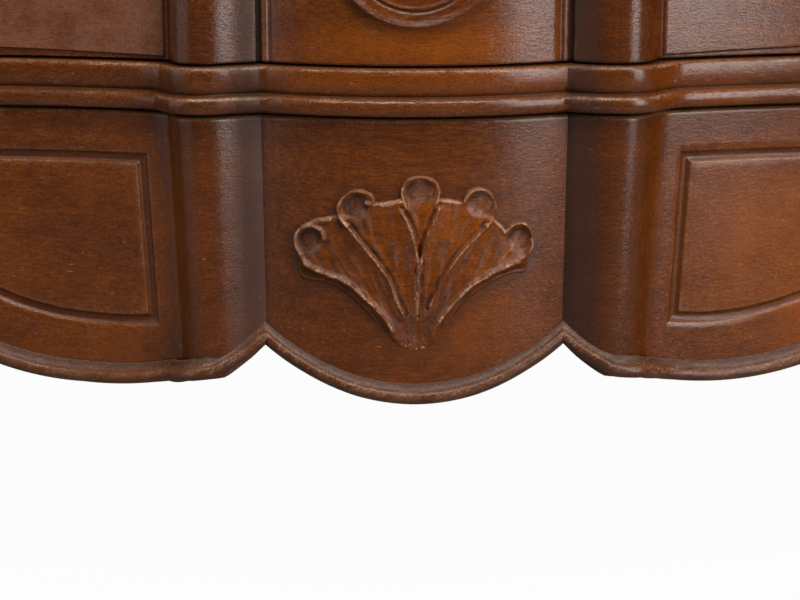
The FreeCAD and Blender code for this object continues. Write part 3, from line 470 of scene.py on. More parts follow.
def front_arcs(offset):
    """Right half of the serpentine front from its middle outwards: start, stop and centre of each arc."""
    bow = centre_d - valley_d
    r_mid = (valley_x ** 2 + bow ** 2) / (2 * bow)
    c_mid = (0.0, centre_d - r_mid)
    chord = math.dist((valley_x, valley_d), (crease_x, crease_d))
    r_col = (chord * chord / 4 + column_bulge ** 2) / (2 * column_bulge)
    back = r_col - column_bulge
    c_col = (
        (valley_x + crease_x) / 2 - back * (valley_d - crease_d) / chord,
        (valley_d + crease_d) / 2 - back * (crease_x - valley_x) / chord,
    )
    fall = crease_d - hollow_d
    r_in = ((hollow_x - crease_x) ** 2 + fall ** 2) / (2 * fall)
    c_in = (hollow_x, hollow_d + r_in)
    reach, rise = (end_x - hollow_x) / 2, end_d - hollow_d
    r_out = (reach * reach + rise * rise / 4) / rise
    c_out = (hollow_x, hollow_d + r_out)
    c_end = (end_x, end_d - r_out)
    valley = meet(c_mid, r_mid + offset, c_col, r_col + offset, (valley_x, valley_d + offset))
    crease = meet(c_col, r_col + offset, c_in, r_in - offset, (crease_x + offset / 2, crease_d + offset))
    low = (hollow_x, hollow_d + offset)
    share = (r_out - offset) / r_out
    turn = (hollow_x + reach * share, hollow_d + r_out - (r_out - rise / 2) * share)
    return [
        ((0.0, centre_d + offset), valley, c_mid),
        (valley, crease, c_col),
        (crease, low, c_in),
        (low, turn, c_out),
        (turn, (end_x, end_d + offset), c_end),
    ]


def arc_sweep(start, stop, centre):
    """First angle, turn and radius of an arc."""
    first = math.atan2(start[1] - centre[1], start[0] - centre[0])
    turn = math.atan2(stop[1] - centre[1], stop[0] - centre[0]) - first
    return first, turn, math.dist(start, centre)


def stations(counts, extra=()):
    """Arc number and share along it for points of the right half, with more at the places given."""
    run = []
    for number, (count, (a, b, c)) in enumerate(zip(counts, front_arcs(0.0))):
        first, sweep, radius = arc_sweep(a, b, c)
        shares = set(np.linspace(0, 1, count + 1)[: None if number == 4 else -1].round(6))
        for x in extra:
            if a[0] < x < b[0]:
                up = math.sqrt(radius ** 2 - (x - c[0]) ** 2) * (1 if a[1] > c[1] else -1)
                shares.add(round((math.atan2(up, x - c[0]) - first) / sweep, 6))
        run += [(number, share) for share in sorted(shares)]
    return run


def front_run(places, offset, side_x=None, fill=1.1, reach=5.0):
    """Places of the whole front from left to right at an offset, as rows of x, y and outward normal."""
    arcs = front_arcs(offset)
    sides = []
    for most in (left_lean, right_lean):
        half = []
        for number, share in places:
            first, sweep, radius = arc_sweep(*arcs[number])
            middle = arcs[number][2]
            angle = first + sweep * share
            nx, ny = math.cos(angle), math.sin(angle)
            lean = -most * math.sin(2 * math.pi * share) if number == 1 else 0.0
            x, d = middle[0] + (radius + lean) * nx, middle[1] + (radius + lean) * ny
            length = abs(radius * sweep)
            along = share * length if number == 2 else (1 - share) * length if number == 1 else reach
            soft = fill * max(0.0, 1 - along / reach) ** 2
            x += soft * math.cos(crease_slant)
            d += soft * math.sin(crease_slant)
            hollow = -1 if number in (2, 3) else 1
            half.append((x, seat_y - d, hollow * nx, -hollow * ny))
        if side_x:
            half.append((side_x, half[-1][1], 0.0, -1.0))
        sides.append(np.array(half))
    left = sides[0][:0:-1] * (-1, 1, -1, 1)
    return np.concatenate([left, sides[1]])


soft_steps = (0.5, 1.0, 1.6, 2.3, 3.2, 4.2, 5.5)
SOFT_PLACES = [crease_x + s for s in soft_steps] + [crease_x - s * 0.45 for s in soft_steps]
RAIL_PLACES = stations((24, 26, 26, 12, 12), SOFT_PLACES)
rail_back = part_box("lower_drawer_rail")[1].y / mm
RAIL_PROFILE = (
    (2.5, 0.0), (5.0, 0.0), (7.4, 0.6), (9.0, 2.0), (9.9, 4.2), (10.0, 7.0), (9.6, 9.0), (8.7, 10.6),
    (7.0, 11.7), (5.2, 12.2), (3.9, 12.5), (3.6, 13.0), (3.9, 13.6), (4.7, 14.4), (5.4, 15.9), (5.9, 18.6),
    (6.1, 22.0), (6.1, 25.8), (5.9, 28.0), (5.3, 29.6), (4.2, 30.6), (2.4, 31.0), (-1.0, 31.0),
)
rail_tall = RAIL_PROFILE[-1][1]
rail_fill = (3.2, 14.0)
RAIL_SCUFFS = {9.0: 0.15, 10.6: 1.1, 11.7: 0.15, 28.0: 0.1, 29.6: 1.1, 30.6: 0.35}


def moulded_rail(node):
    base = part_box(node)[0].z / mm
    run = front_run(RAIL_PLACES, 0.0, post_x)
    back = at_height(run[:, :1], rail_back)
    rows = [at_height(back, base)]
    for offset, up in RAIL_PROFILE:
        rows.append(at_height(front_run(RAIL_PLACES, offset, post_x, *rail_fill)[:, :2], base + up))
    rows += [at_height(back, base + rail_tall), rows[0]]
    piece = laid_grid(node + "_moulded", rows)
    scuffs = [RAIL_SCUFFS.get(up, 0.0) for _, up in RAIL_PROFILE]
    mark_scuffs(piece, rows, [0.0] + scuffs + [0.0, 0.0], base)
    close_rim(piece)
    mark_wear(piece, 3.0)
    mark_column_shade(piece, 0.35)
    mark_faded(piece, base + 24.0, 8.0, (0.0, 95.0, 0.8))
    finish_piece(piece, "carcase", WALNUT_RAIL, "show_wood", node, smooth=50)


WALNUT_RAIL = polished_walnut("polished_walnut_rail", 0, 0.15, 0.2, 0.05, 0.55, 0.05, 0.27)
for node in ("lower_drawer_rail", "upper_drawer_rail", "front_top_rail"):
    moulded_rail(node)

# Top board: one wide walnut board with a moulded edge that follows the front and both ends.
# It is screwed up through the rails, and its polish is the most worn of all.
top_low, top_high = (np.array(v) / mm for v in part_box("top_board"))
top_overhang, top_corner = 26.0, 30.0
TOP_PROFILE = (
    (12.0, 0.0), (9.0, 0.3), (7.6, 1.6), (7.4, 4.2), (6.4, 6.6), (4.6, 8.4), (3.4, 9.2), (3.2, 10.2),
    (2.0, 10.8), (0.8, 12.2), (0.15, 14.6), (0.0, 18.0), (0.3, 21.6), (1.3, 24.6), (3.2, 26.8), (6.0, 27.8),
    (9.0, 28.0),
)
top_fill = (4.0, 18.0)


def top_outline(inset):
    """The top board's outline from its back left corner round the front, and along the back again."""
    run = front_run(RAIL_PLACES, top_overhang - inset, None, *top_fill)[:, :2]
    side, front, rear = top_high[0] - inset, run[-1][1], top_high[1]
    corner = []
    for i in range(9):
        angle = math.radians(90 * i / 8)
        x = side - top_corner + top_corner * math.sin(angle)
        corner.append((x, front + top_corner - top_corner * math.cos(angle)))
    edge = [(side, y) for y in np.linspace(front + top_corner, rear, 14)[1:]]
    right = np.array(corner + edge)
    left = right[::-1] * (-1, 1)
    return np.concatenate([left, run, right, left[:1]])


top_rows = [at_height(top_outline(inset), top_low[2] + up) for inset, up in TOP_PROFILE]
top_piece = laid_grid("top_board_moulded", top_rows)
close_rim(top_piece)
mark_wear(top_piece, 4.0)
finish_piece(top_piece, "carcase", WALNUT_TOP, "show_wood", "top_board")

# Inside of the carcase: oak runners with guides, dust boards, kickers, stops and the hidden rail,
# let into grooves and glued. The pegs are walnut, and the screws of the top are plain steel.
for node in ("upper_dust_board", "lower_dust_board", "drawer_stops", "front_bottom_rail"):
    eased_copy(node, "carcase", OAK_ACROSS, "inner_wood", 0.8)
for node in ("top_drawer_runners", "middle_drawer_runners", "bottom_drawer_runners", "top_drawer_kickers"):
    eased_copy(node, "carcase", OAK_DEEP, "inner_wood", 0.8)


def turned_metal(name, bright, tarnish, dull):
    """Old metal: bright where it is handled, tarnished in patches and in corners."""
    finish, pen, shader = new_finish(name)
    place = pen.node("TexCoord", {}, {}, "Object")
    patch = place.noise((90.0, 90.0, 90.0), 5.0, 0.65)
    scratch = place.noise((300.0, 2600.0, 2600.0), 3.0, 0.6)
    corner = pen.node("AmbientOcclusion", {"samples": 8}, {"Distance": 0.006}, "AO")
    stain = pen.maths("ADD", patch.between(0.45, 0.72) * 0.7, corner.between(0.8, 0.3) * 0.7, True)
    height = patch + scratch * 0.3
    bump = pen.node("Bump", {}, {"Strength": 0.15, "Distance": 0.0002, "Height": height})
    rough = dull + stain * 0.3
    colour = pen.mixed(stain, bright, tarnish)
    looks = {"Base Color": colour, "Metallic": 1.0, "Roughness": rough, "Normal": bump}
    pen.fill(shader.inputs, looks)
    return finish


OLD_BRASS = turned_metal("old_brass", srgb(172, 134, 78), srgb(78, 57, 32), 0.3)
SCREW_STEEL = turned_metal("screw_steel", srgb(150, 146, 140), srgb(70, 60, 52), 0.4)
for node, finish in (("joint_pegs", WALNUT_ACROSS), ("top_screws", SCREW_STEEL)):
    paint(nodes[node], finish)

# Lowest drawer front: a thick walnut board sawn to the serpentine front and scalloped below,
# with two half-round columns and, beside them, a flat panel inside a scratched moulding.
drop_z, front_top = (v.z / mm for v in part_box("bottom_drawer_front"))
cusp_z, side_low_x, side_low_z, end_z = drop_z + 34.5, 208.0, drop_z + 3.0, 225.0
MITRE = ((0, 40, 75, 101, 112, 133, 141, 150, 165), (-0.3, 0, 1.2, 1.2, -0.8, -2.6, -0.4, 1.6, 0.0))
LEFT_SAG = ((222, 285, 400, 532), (0.0, -3.8, -2.5, 0.0))
mid_r = (valley_x ** 2 + (cusp_z - drop_z) ** 2) / (2 * (cusp_z - drop_z))
side_fall = cusp_z - side_low_z
side_r = ((side_low_x - valley_x) ** 2 + side_fall ** 2) / (2 * side_fall)
swing = 2 * math.atan((end_z - side_low_z) / (end_x - side_low_x))
end_r = (end_x - side_low_x) / math.sin(swing) - side_r


def scallop(x):
    """Height of the sawn edge at x, and how much longer than level it runs there."""
    level, longer = true_scallop(abs(x))
    level += float(np.interp(abs(x), *MITRE))
    level += float(np.interp(-x, *LEFT_SAG))
    return level, longer


def true_scallop(x):
    """The scalloped edge as it was drawn, of three arcs."""
    if x <= valley_x:
        away, radius, start, sign = x, mid_r, drop_z, 1
    elif x <= side_low_x + side_r * math.sin(swing):
        away, radius, start, sign = x - side_low_x, side_r, side_low_z, 1
    else:
        away, radius, start, sign = min(x, end_x) - end_x, end_r, end_z, -1
    rise = math.sqrt(radius ** 2 - away ** 2)
    return start + sign * (radius - rise), math.hypot(1, away / rise)


panel_inner, panel_outer, panel_top, panel_edge, moulding = 179.0, 510.0, front_top - 27.5, 40.0, 9.0
MOULDING = (
    (0.0, 0.0), (0.06, -0.4), (0.14, -1.4), (0.24, -2.2), (0.36, -2.6), (0.52, -2.8), (0.63, -2.7),
    (0.71, -2.2), (0.79, -1.3), (0.87, -0.5), (0.94, -0.1), (1.0, 0.0),
)
board_fill, bead_fill = (2.4, 10.0), (3.4, 15.0)
top_round = 2.6
moulding_share, moulding_depth = zip(*MOULDING)
panel_stations = [panel_inner + s * moulding for s in moulding_share]
panel_stations += [panel_outer - s * moulding for s in moulding_share]
BOTTOM_PLACES = stations((54, 34, 34, 12, 12), panel_stations + SOFT_PLACES)


def bottom_front():
    run = front_run(BOTTOM_PLACES, 0.0, None, *board_fill)
    soft = front_run(BOTTOM_PLACES, 0.0, None, *bead_fill)
    edge = np.array([scallop(x) for x in run[:, 0]])
    stretch = np.where(abs(run[:, 0]) < valley_x, 1.17, edge[:, 1])
    low_rows = [0.0, 1.0, 3.0, 8.0, 13.0, 18.0, 24.0, 30.0, 36.0]
    low_rows += [panel_edge + s * moulding for s in moulding_share] + [panel_edge + moulding + 4]
    top_rows = [panel_top - moulding - 4] + [panel_top - s * moulding for s in reversed(moulding_share)]
    top_rows += [front_top - d for d in (23.0, 18.0, 12.0, 8.0, 5.0, 3.5, top_round)]
    lower = [edge[:, 0] + h * stretch for h in low_rows]
    upper = [np.full(len(run), z) for z in top_rows]
    between = [lower[-1] + (upper[0] - lower[-1]) * i / 34 for i in range(1, 34)]
    x0, normal = run[:, 0], run[:, 2:]
    across = np.minimum((abs(x0) - panel_inner) / moulding, (panel_outer - abs(x0)) / moulding)
    laid = []
    for level in lower + between + upper:
        taper = np.clip((front_top - level) / 170.0, 0, 1) * 0.045
        reach = np.interp(abs(x0), (80, 130, 190, 330), (0, 1, 1, 0))
        eased = np.clip((32 - (level - edge[:, 0]) / stretch) / 18, 0, 1)
        x = (x0 + (soft[:, 0] - x0) * eased) * (1 - taper * reach)
        y = run[:, 1] + (soft[:, 1] - run[:, 1]) * eased
        over_edge = (level - edge[:, 0]) / stretch - panel_edge
        upright = np.minimum((panel_top - level) / moulding, over_edge / moulding)
        depth = np.interp(np.minimum(across, upright), moulding_share, moulding_depth)
        laid.append(np.c_[np.c_[x, y] + normal * depth[:, None], level])
    for angle in (20, 45, 70, 90):
        back = top_round * (1 - math.cos(math.radians(angle)))
        level = front_top - top_round + top_round * math.sin(math.radians(angle))
        laid.append(at_height(run[:, :2] - normal * back, level))
    return laid_grid("bottom_drawer_front_board", laid)


front_board = bottom_front()
close_rim(front_board, to_seat)
mark_wear(front_board, 3.5)
mark_column_shade(front_board)
mark_faded(front_board, 245.0, 60.0, (330.0, 150.0, 1.0), (-160.0, 24.0, 0.6))
finish_piece(front_board, "bottom_drawer", WALNUT_ACROSS, "show_wood", "bottom_drawer_front", smooth=40)

# Edge bead: a rounded walnut strip with a small cove over it, bent along the scalloped edge in
# three lengths, mitred at the two cusps and glued to the drawer front.
BEAD_PROFILE = (
    (-2.0, 0.2), (3.0, 0.0), (5.2, 0.5), (6.5, 1.8), (7.0, 3.6), (6.9, 5.6), (6.2, 7.2), (5.0, 8.3),
    (3.8, 8.8), (2.9, 9.5), (1.9, 10.9), (0.8, 12.4), (0.1, 13.4), (-2.0, 13.6),
)
# Painted shade on the edge bead by height up its profile: darkest on its underside and in the cove above it.
BEAD_SOOT_AND_SHADE = ((2.0, 6.5, 9.5, 12.4), (1.0, 0.45, 0.5, 1.3))


def edge_bead():
    runs = [front_run(BOTTOM_PLACES, offset, None, *bead_fill)[:, :2] for offset, _ in BEAD_PROFILE]
    base = front_run(BOTTOM_PLACES, 0.0)[:, 0]
    edge = np.array([scallop(x) for x in base])
    stretch = np.where(abs(base) <= valley_x, 1 + (edge[:, 1] - 1) * 0.66, edge[:, 1])
    cuts = [-end_x, -valley_x, valley_x, end_x]
    for number, (start, stop) in enumerate(zip(cuts, cuts[1:]), 1):
        part = (base >= start - 0.01) & (base <= stop + 0.01)
        rows = []
        for line, (_, up) in zip(runs, BEAD_PROFILE):
            rows.append(np.c_[line[part], (edge[:, 0] + up * stretch)[part]])
        rows.append(rows[0])
        piece = laid_grid(f"edge_bead_{number}", rows)
        scuffs = [0.6 if 5 < up < 9 else 0.3 if 9 < up < 13 else 0.0 for _, up in BEAD_PROFILE]
        mark_scuffs(piece, rows, scuffs + [0.0], 5.0)
        # Painted shade on the bead, by height up its profile, with its back row dark.
        soot_and_shade_mix = [np.interp(up, *BEAD_SOOT_AND_SHADE) for _, up in BEAD_PROFILE]
        write_mark(piece, "sooty", np.repeat(soot_and_shade_mix + [0.9], len(rows[0])))
        close_rim(piece)
        mark_wear(piece, 3.0)
        nodes_hidden = ("bottom_drawer_edge_bead",) if number == 1 else ()
        finish_piece(piece, "bottom_drawer", WALNUT_ACROSS, "show_wood", *nodes_hidden, smooth=60)


edge_bead()

# Carved shell: a fan of five rimmed lobes with thin ribs, carved from one walnut block, hollowed
# on its back to the bow of the drawer and glued on. Its crests are rubbed bare and painted with highlights,
# its hollows dusty and painted with shade under the rims.
LOBE_RIMS = (
    ((-60, 261), (-60, 265), (-63, 268), (-69, 270), (-74, 268), (-78, 264), (-79, 259), (-78, 254),
     (-75, 249), (-71, 244)),
    ((-32, 286), (-28, 285), (-27, 288), (-29, 291), (-33, 293), (-39, 294), (-45, 291), (-49, 287),
     (-51, 281), (-50, 277), (-44, 271)),
    ((-6, 283), (-8, 288), (-9, 293), (-8, 298), (-4, 302), (1.5, 303), (8, 302.5), (13, 300), (16, 294),
     (15, 289), (12.5, 285)),
    ((31.5, 286), (33, 290), (37, 294), (43, 295), (48.5, 292), (52, 286), (53, 281), (51, 275),
     (46, 270)),
    ((60, 266), (64, 270), (70, 271), (75, 268), (77, 262), (77, 254), (73, 248), (68, 245)),
)
LOBE_EDGES = (
    ((-73, 269), (-65, 273), (-55, 275)),
    ((-27, 285), (-19, 285), (-9, 288)),
    ((15, 288.5), (23, 287), (30, 285.5)),
    ((52, 273), (56, 269), (59, 265)),
)
BORDER_RIBS = (
    ((-71, 244), (-62, 239), (-50, 236), (-40, 230), (-32, 222), (-24, 214), (-17, 205), (-13, 195)),
    ((68, 245), (57, 242), (46, 236.5), (35, 230), (26, 221), (18, 211), (13, 203), (11, 194)),
)
FINE_RIBS = (
    ((-44, 271), (-39, 264), (-32, 255), (-25, 247), (-19.5, 239), (-15, 230), (-12, 221), (-8, 212)),
    ((-9, 281), (-5, 274), (-1.5, 265), (1, 254), (2, 244), (2, 234), (1.5, 224), (1.5, 212)),
    ((15.5, 283), (11.5, 275), (8, 266), (5, 257), (3.5, 248), (2.5, 240)),
    ((46, 270), (39, 263), (30, 254), (23.5, 245), (18, 236), (13, 226), (9, 217)),
)
LEFT_TAIL = (
    (-15, 185), (-19, 191), (-23, 200), (-28, 209), (-37, 219), (-48, 228), (-60, 232), (-73, 232.5),
    (-78, 237),
)
RIGHT_TAIL = (
    (74, 237), (66, 237.5), (54, 234), (42.5, 227.5), (32.5, 220), (24, 210), (19.5, 199.5), (18, 191),
    (13, 185),
)
LOBE_HOLLOWS = ((-68.5, 259, 9.0), (-39, 283, 10.0), (3.3, 293, 10.5), (43, 284, 9.5), (67.5, 259, 9.0))
shell_foot = (0.5, 179.0)
shell_half, shell_low, shell_high = 84.0, 172.0, 309.0


def rounded_line(points, rounds=2, closed=False):
    """A drawn line with its corners cut off again and again."""
    line = np.array(points, float)
    for _ in range(rounds):
        after = np.roll(line, -1, 0) if closed else line[1:]
        before = line if closed else line[:-1]
        cut = np.stack([before * 0.75 + after * 0.25, before * 0.25 + after * 0.75], 1).reshape(-1, 2)
        line = cut if closed else np.concatenate([line[:1], cut, line[-1:]])
    return line


def away_from(points, line):
    """Distance of each point from a line of points, below 0 on its right-hand side."""
    nearest = np.full(len(points), 1e9)
    side = np.ones(len(points))
    for a, b in zip(line, line[1:]):
        run = b - a
        share = np.clip(((points - a) @ run) / max(run @ run, 1e-9), 0, 1)
        off = points - a - share[:, None] * run
        far = np.hypot(*off.T)
        left = np.where(run[0] * off[:, 1] - run[1] * off[:, 0] < 0, -1.0, 1.0)
        side = np.where(far < nearest, left, side)
        nearest = np.minimum(nearest, far)
    return nearest * side


def within(points, loop):
    """Whether each point lies inside a closed loop."""
    inside = np.zeros(len(points), bool)
    for (x0, z0), (x1, z1) in zip(loop, np.roll(loop, -1, 0)):
        cross = (z0 > points[:, 1]) != (z1 > points[:, 1])
        at = x0 + (points[:, 1] - z0) * (x1 - x0) / (z1 - z0 if z1 != z0 else 1e-9)
        inside ^= cross & (points[:, 0] < at)
    return inside


def ease(value, low, high):
    share = np.clip((value - low) / (high - low), 0, 1)
    return share * share * (3 - 2 * share)


def hump(value, width):
    return np.exp(-(value / width) ** 2)


def shell_outline():
    """The loop round the carving, along its tails and the tops of its lobes."""
    loop = list(LEFT_TAIL)
    for rim, edge in zip(LOBE_RIMS, LOBE_EDGES + ((),)):
        left = rim[0][0] < 0 and rim is not LOBE_RIMS[2]
        run = rim[::-1][1:] if left else rim
        top = [q for q in run if q[1] >= (246 if abs(q[0]) > 55 else 274)]
        loop += top[: -2 if left else None] + list(edge)
    return rounded_line(loop + list(RIGHT_TAIL) + [shell_foot], 2, True)


def outline_depth(points):
    """How far inside the outline each point lies, below 0 outside it."""
    loop = shell_outline()
    far = abs(away_from(points, np.concatenate([loop, loop[:1]])))
    return np.where(within(points, loop), far, -far)


def grain_noise(first, second, seed):
    return np.array([noise.noise((a, b, seed)) for a, b in zip(first, second)])


def shell_relief(points):
    """Height of the carving over the drawer front at each point; how rubbed and painted with highlights, how
    dirty and painted with shade, and how dusty it is.
    """
    x, z = points.T
    none = np.zeros(len(points))
    waver = grain_noise(x * 0.16, z * 0.16, 3.0)
    chip = grain_noise(x * 0.55, z * 0.55, 7.0)
    tool = grain_noise(np.arctan2(x - 0.5, z - 166) * 30, np.hypot(x - 0.5, z - 166) * 0.04, 11.0)
    depth = outline_depth(points) + 0.5 * waver + 0.25 * chip
    root = ease(z, 182.0, 214.0)
    inside = ease((depth + 2.8) / (3.1 + 9.0 * (1 - root)), 0.0, 1.0)
    height = -1.4 + (1.5 + 2.5 * root) * inside
    height += 1.6 * np.clip(1 - ((z - 240) / 62) ** 2 - (x / 105) ** 2, 0, 1) * inside
    field, outer, bright = none + 9.0, none - 9.0, none
    for number, rib in enumerate(FINE_RIBS + BORDER_RIBS):
        inward = away_from(points, rounded_line(rib)) * (1 if number in (0, 1, 4) else -1)
        field = np.minimum(field, abs(inward))
        if number > 3:
            outer = np.maximum(outer, np.where(z > 246, -9.0, np.where(abs(inward) < 40, -inward, -9.0)))
        else:
            crest = 1.9 * hump(inward, 0.85) - 1.3 * hump(inward - 2.2, 1.3)
            height += crest * inside * root * (1 + 0.5 * waver)
            # Painted highlight along each fine rib, stronger on the ribs of the left side.
            line = hump(inward + 0.2, 0.6) + 0.75 * hump(inward + 0.9, 1.5)
            line *= 0.75 if rib[0][0] < 0 else 0.55
            bright = np.maximum(bright, line * root)
    height -= 1.6 * ease(field, 0.5, 9.0) * inside
    tail = ease(outer, 0.8, 5.5)
    height -= 1.3 * tail * inside
    height += 0.9 * tail * root * hump(depth - 0.6, 0.9)
    dirt_and_shade, hollow, ridges = none, none, none
    # Painted shadow: each lobe's hollow is darkened next to the rim that overhangs it.
    for cx, cz, radius in LOBE_HOLLOWS:
        far = np.hypot(x - cx, z - cz) / radius
        outward = ((x - cx) * cx + (z - cz) * (cz - 185)) / math.hypot(cx, cz - 185) / radius
        height -= 2.4 * ease(outward, -1.5, 0.7) * ease(-far, -1.08, -0.6)
        hollow = np.maximum(hollow, ease(-far, -1.05, -0.6))
        dirt_and_shade = np.maximum(dirt_and_shade, 0.4 * ease(outward, -1.0, 0.8) * ease(-far, -1.05, -0.75))
    broad = np.clip(0.9 + 1.2 * waver, 0.35, 1.6)
    # Painted highlights with wear on border ribs, lobe edges and rims, stronger on the left side than the
    # right.
    for group, width, rise, worn, share in (
        (BORDER_RIBS, 2.0, 2.2, 0.75, 0.95),
        (LOBE_EDGES, 1.6, 1.1, 1.3, 0.85),
        (LOBE_RIMS, 1.5, 1.8, 0.7, 0.72),
    ):
        for line in group:
            near = away_from(points, rounded_line(line))
            ridges = np.maximum(ridges, rise * hump(near, width) * (1 + 0.8 * waver))
            crest = hump(near, worn * broad) + 0.5 * hump(near, 2.4 * worn)
            share_here = share * (1.15 if line[0][0] < 0 else 0.75)
            bright = np.maximum(bright, share_here * crest * ease(z, 188.0, 212.0))
    height += ridges * inside * (0.25 + 0.75 * root)
    knot = np.clip(1 - ((x - 0.5) / 15) ** 2 - ((z - 188) / 9.5) ** 2, 0, 1)
    height += (0.9 + 1.2 * waver + 1.0 * chip) * knot * inside
    height += (0.25 * waver + 0.14 * chip + 0.4 * tool * root) * inside
    height = np.where(inside > 0.8, np.maximum(height, 0.4), height)
    foot = ease(-np.hypot((x - 0.5) / 30, (z - 203) / 24), -1.0, -0.2)
    dirt_and_shade = np.maximum(dirt_and_shade, foot * np.clip(0.16 + 0.5 * chip, 0, 1)) * ease(depth, -2.0, 4.0)
    # Dirt with painted shade: darker towards the left of the carving, in a ring just outside its outline and
    # on the outer flanks of the tails.
    dirt_and_shade += (0.24 + 0.5 * tool + 0.3 * waver + 0.12 * ease(-x, 20.0, 45.0)) * inside
    dirt_and_shade += 0.5 * ease(-depth, 0.4, 1.8) * root + 0.15 * tail * root
    dirt_and_shade *= 1 - 0.7 * bright
    slow = grain_noise(x * 0.045, z * 0.045, 5.0)
    bright *= np.clip(0.95 + 0.5 * waver + 0.3 * chip + 0.9 * slow, 0.1, 1)
    bright *= 1 - 0.7 * ease(z, 294.0, 301.0)
    bright += 0.6 * knot * ease(chip, 0.0, 0.35) + 0.4 * ease(chip + 0.5 * tool, 0.3, 0.6) * inside
    dusty = 0.75 * hollow * ease(waver + 0.5 * chip, -0.4, 0.4) + 0.4 * ease(tool, 0.05, 0.5) * root
    dusty += 0.5 * foot * ease(chip + waver, -0.2, 0.5)
    return height, bright, dirt_and_shade, dusty * inside


def softened(level, reach):
    """A grid of heights, each averaged with its neighbours within a reach in steps."""
    weights = np.exp(-0.5 * (np.arange(-2 * reach, 2 * reach + 1) / reach) ** 2)
    weights /= weights.sum()
    for _ in range(2):
        padded = np.pad(level, ((2 * reach, 2 * reach), (0, 0)), mode="edge")
        level = sum(w * padded[i:i + len(level)] for i, w in enumerate(weights)).T
    return level


def on_bow(x, z, out):
    """Places over the bowed middle of a drawer front, a height out from it at each point."""
    bow = (valley_x ** 2 + (centre_d - valley_d) ** 2) / (2 * (centre_d - valley_d))
    angle = np.arcsin(x / bow)
    reach = bow + out
    return np.stack([reach * np.sin(angle), seat_y - (centre_d - bow) - reach * np.cos(angle), z], -1)


def carved_shell():
    x, z = np.meshgrid(np.linspace(-shell_half, shell_half, 301), np.linspace(shell_low, shell_high, 245))
    relief = shell_relief(np.c_[x.ravel(), z.ravel()])
    height, bright, dirt_and_shade, dusty = (v.reshape(x.shape) for v in relief)
    height = softened(height, 1) * 0.4 + height * 0.6
    # Painted shade: points lying below the smoothed surface around them are darkened as hollows.
    low = (softened(height, 4) - height) / 1.6
    piece = laid_grid("carved_shell", on_bow(x, z, height))
    gold = np.clip(0.5 - 0.7 * dirt_and_shade, 0, 1)
    soil_and_shade = np.clip(low, 0, 1) + dirt_and_shade
    for label, level in (("rubbed", bright), ("grime", soil_and_shade), ("faded", gold), ("hazed", dusty)):
        write_mark(piece, label, np.clip(level, 0, 1))
    edit_mode(True)
    bpy.ops.mesh.select_mode(type="VERT")
    bpy.ops.mesh.select_all(action="DESELECT")
    edit_mode(False)
    piece.data.vertices.foreach_set("select", height.ravel() < -1.2)
    edit_mode(True)
    bpy.ops.mesh.delete(type="VERT")
    edit_mode(False)
    close_rim(piece, lambda p: (p.x, p.y + 1.5 * mm, p.z))
    return finish_piece(piece, "bottom_drawer", CARVED_WALNUT, "show_wood", "bottom_drawer_shell", smooth=70)


def mark_halo(board):
    """Adds old dirt and painted shade in a ring round the carving to the soot and shade marked on the front
    board.
    """
    x, _, z = places_of(board).T / mm
    far = abs(outline_depth(np.c_[x, z]))
    level = np.empty(len(x), np.float32)
    layer = board.data.attributes["sooty"]
    layer.data.foreach_get("value", level)
    level += (0.45 * hump(far - 2.0, 4.0)).astype(np.float32)
    layer.data.foreach_set("value", level)


CARVED_WALNUT = polished_walnut("carved_walnut", 0, 0.93, 0.85, 0.2, 0.9, 0.24, 0.16, (184, 146, 116))
carved_shell()
mark_halo(front_board)

# Upper drawer fronts: like the lowest one, but straight below, with a raised field on each side
# whose edge dips towards the columns, and a fine upright bead on each side of the bowed middle.
UPRIGHT_BEAD = (
    (92.6, 0.0), (94.0, -0.5), (95.2, -1.0), (96.0, -0.9), (96.6, -0.2), (97.3, 0.5), (98.1, 0.8),
    (99.0, 0.8), (99.8, 0.4), (100.3, -0.3), (100.8, -2.2), (101.4, -3.1), (102.2, -2.9), (102.9, -1.3),
    (103.6, -0.4), (104.8, 0.0),
)
bead_at, bead_out = zip(*UPRIGHT_BEAD)
raised, field_in, field_out, edge_round = 2.4, 164.0, 526.0, 1.3
field_steps = (-1.8, -1.2, -0.7, -0.3, 0.0, 0.3, 0.7, 1.2, 1.8, 2.6)
field_at = [field_in + s for s in field_steps] + [field_out - s for s in field_steps]
UPPER_PLACES = stations((26, 30, 22, 12, 12), [*SOFT_PLACES, *bead_at, *field_at])


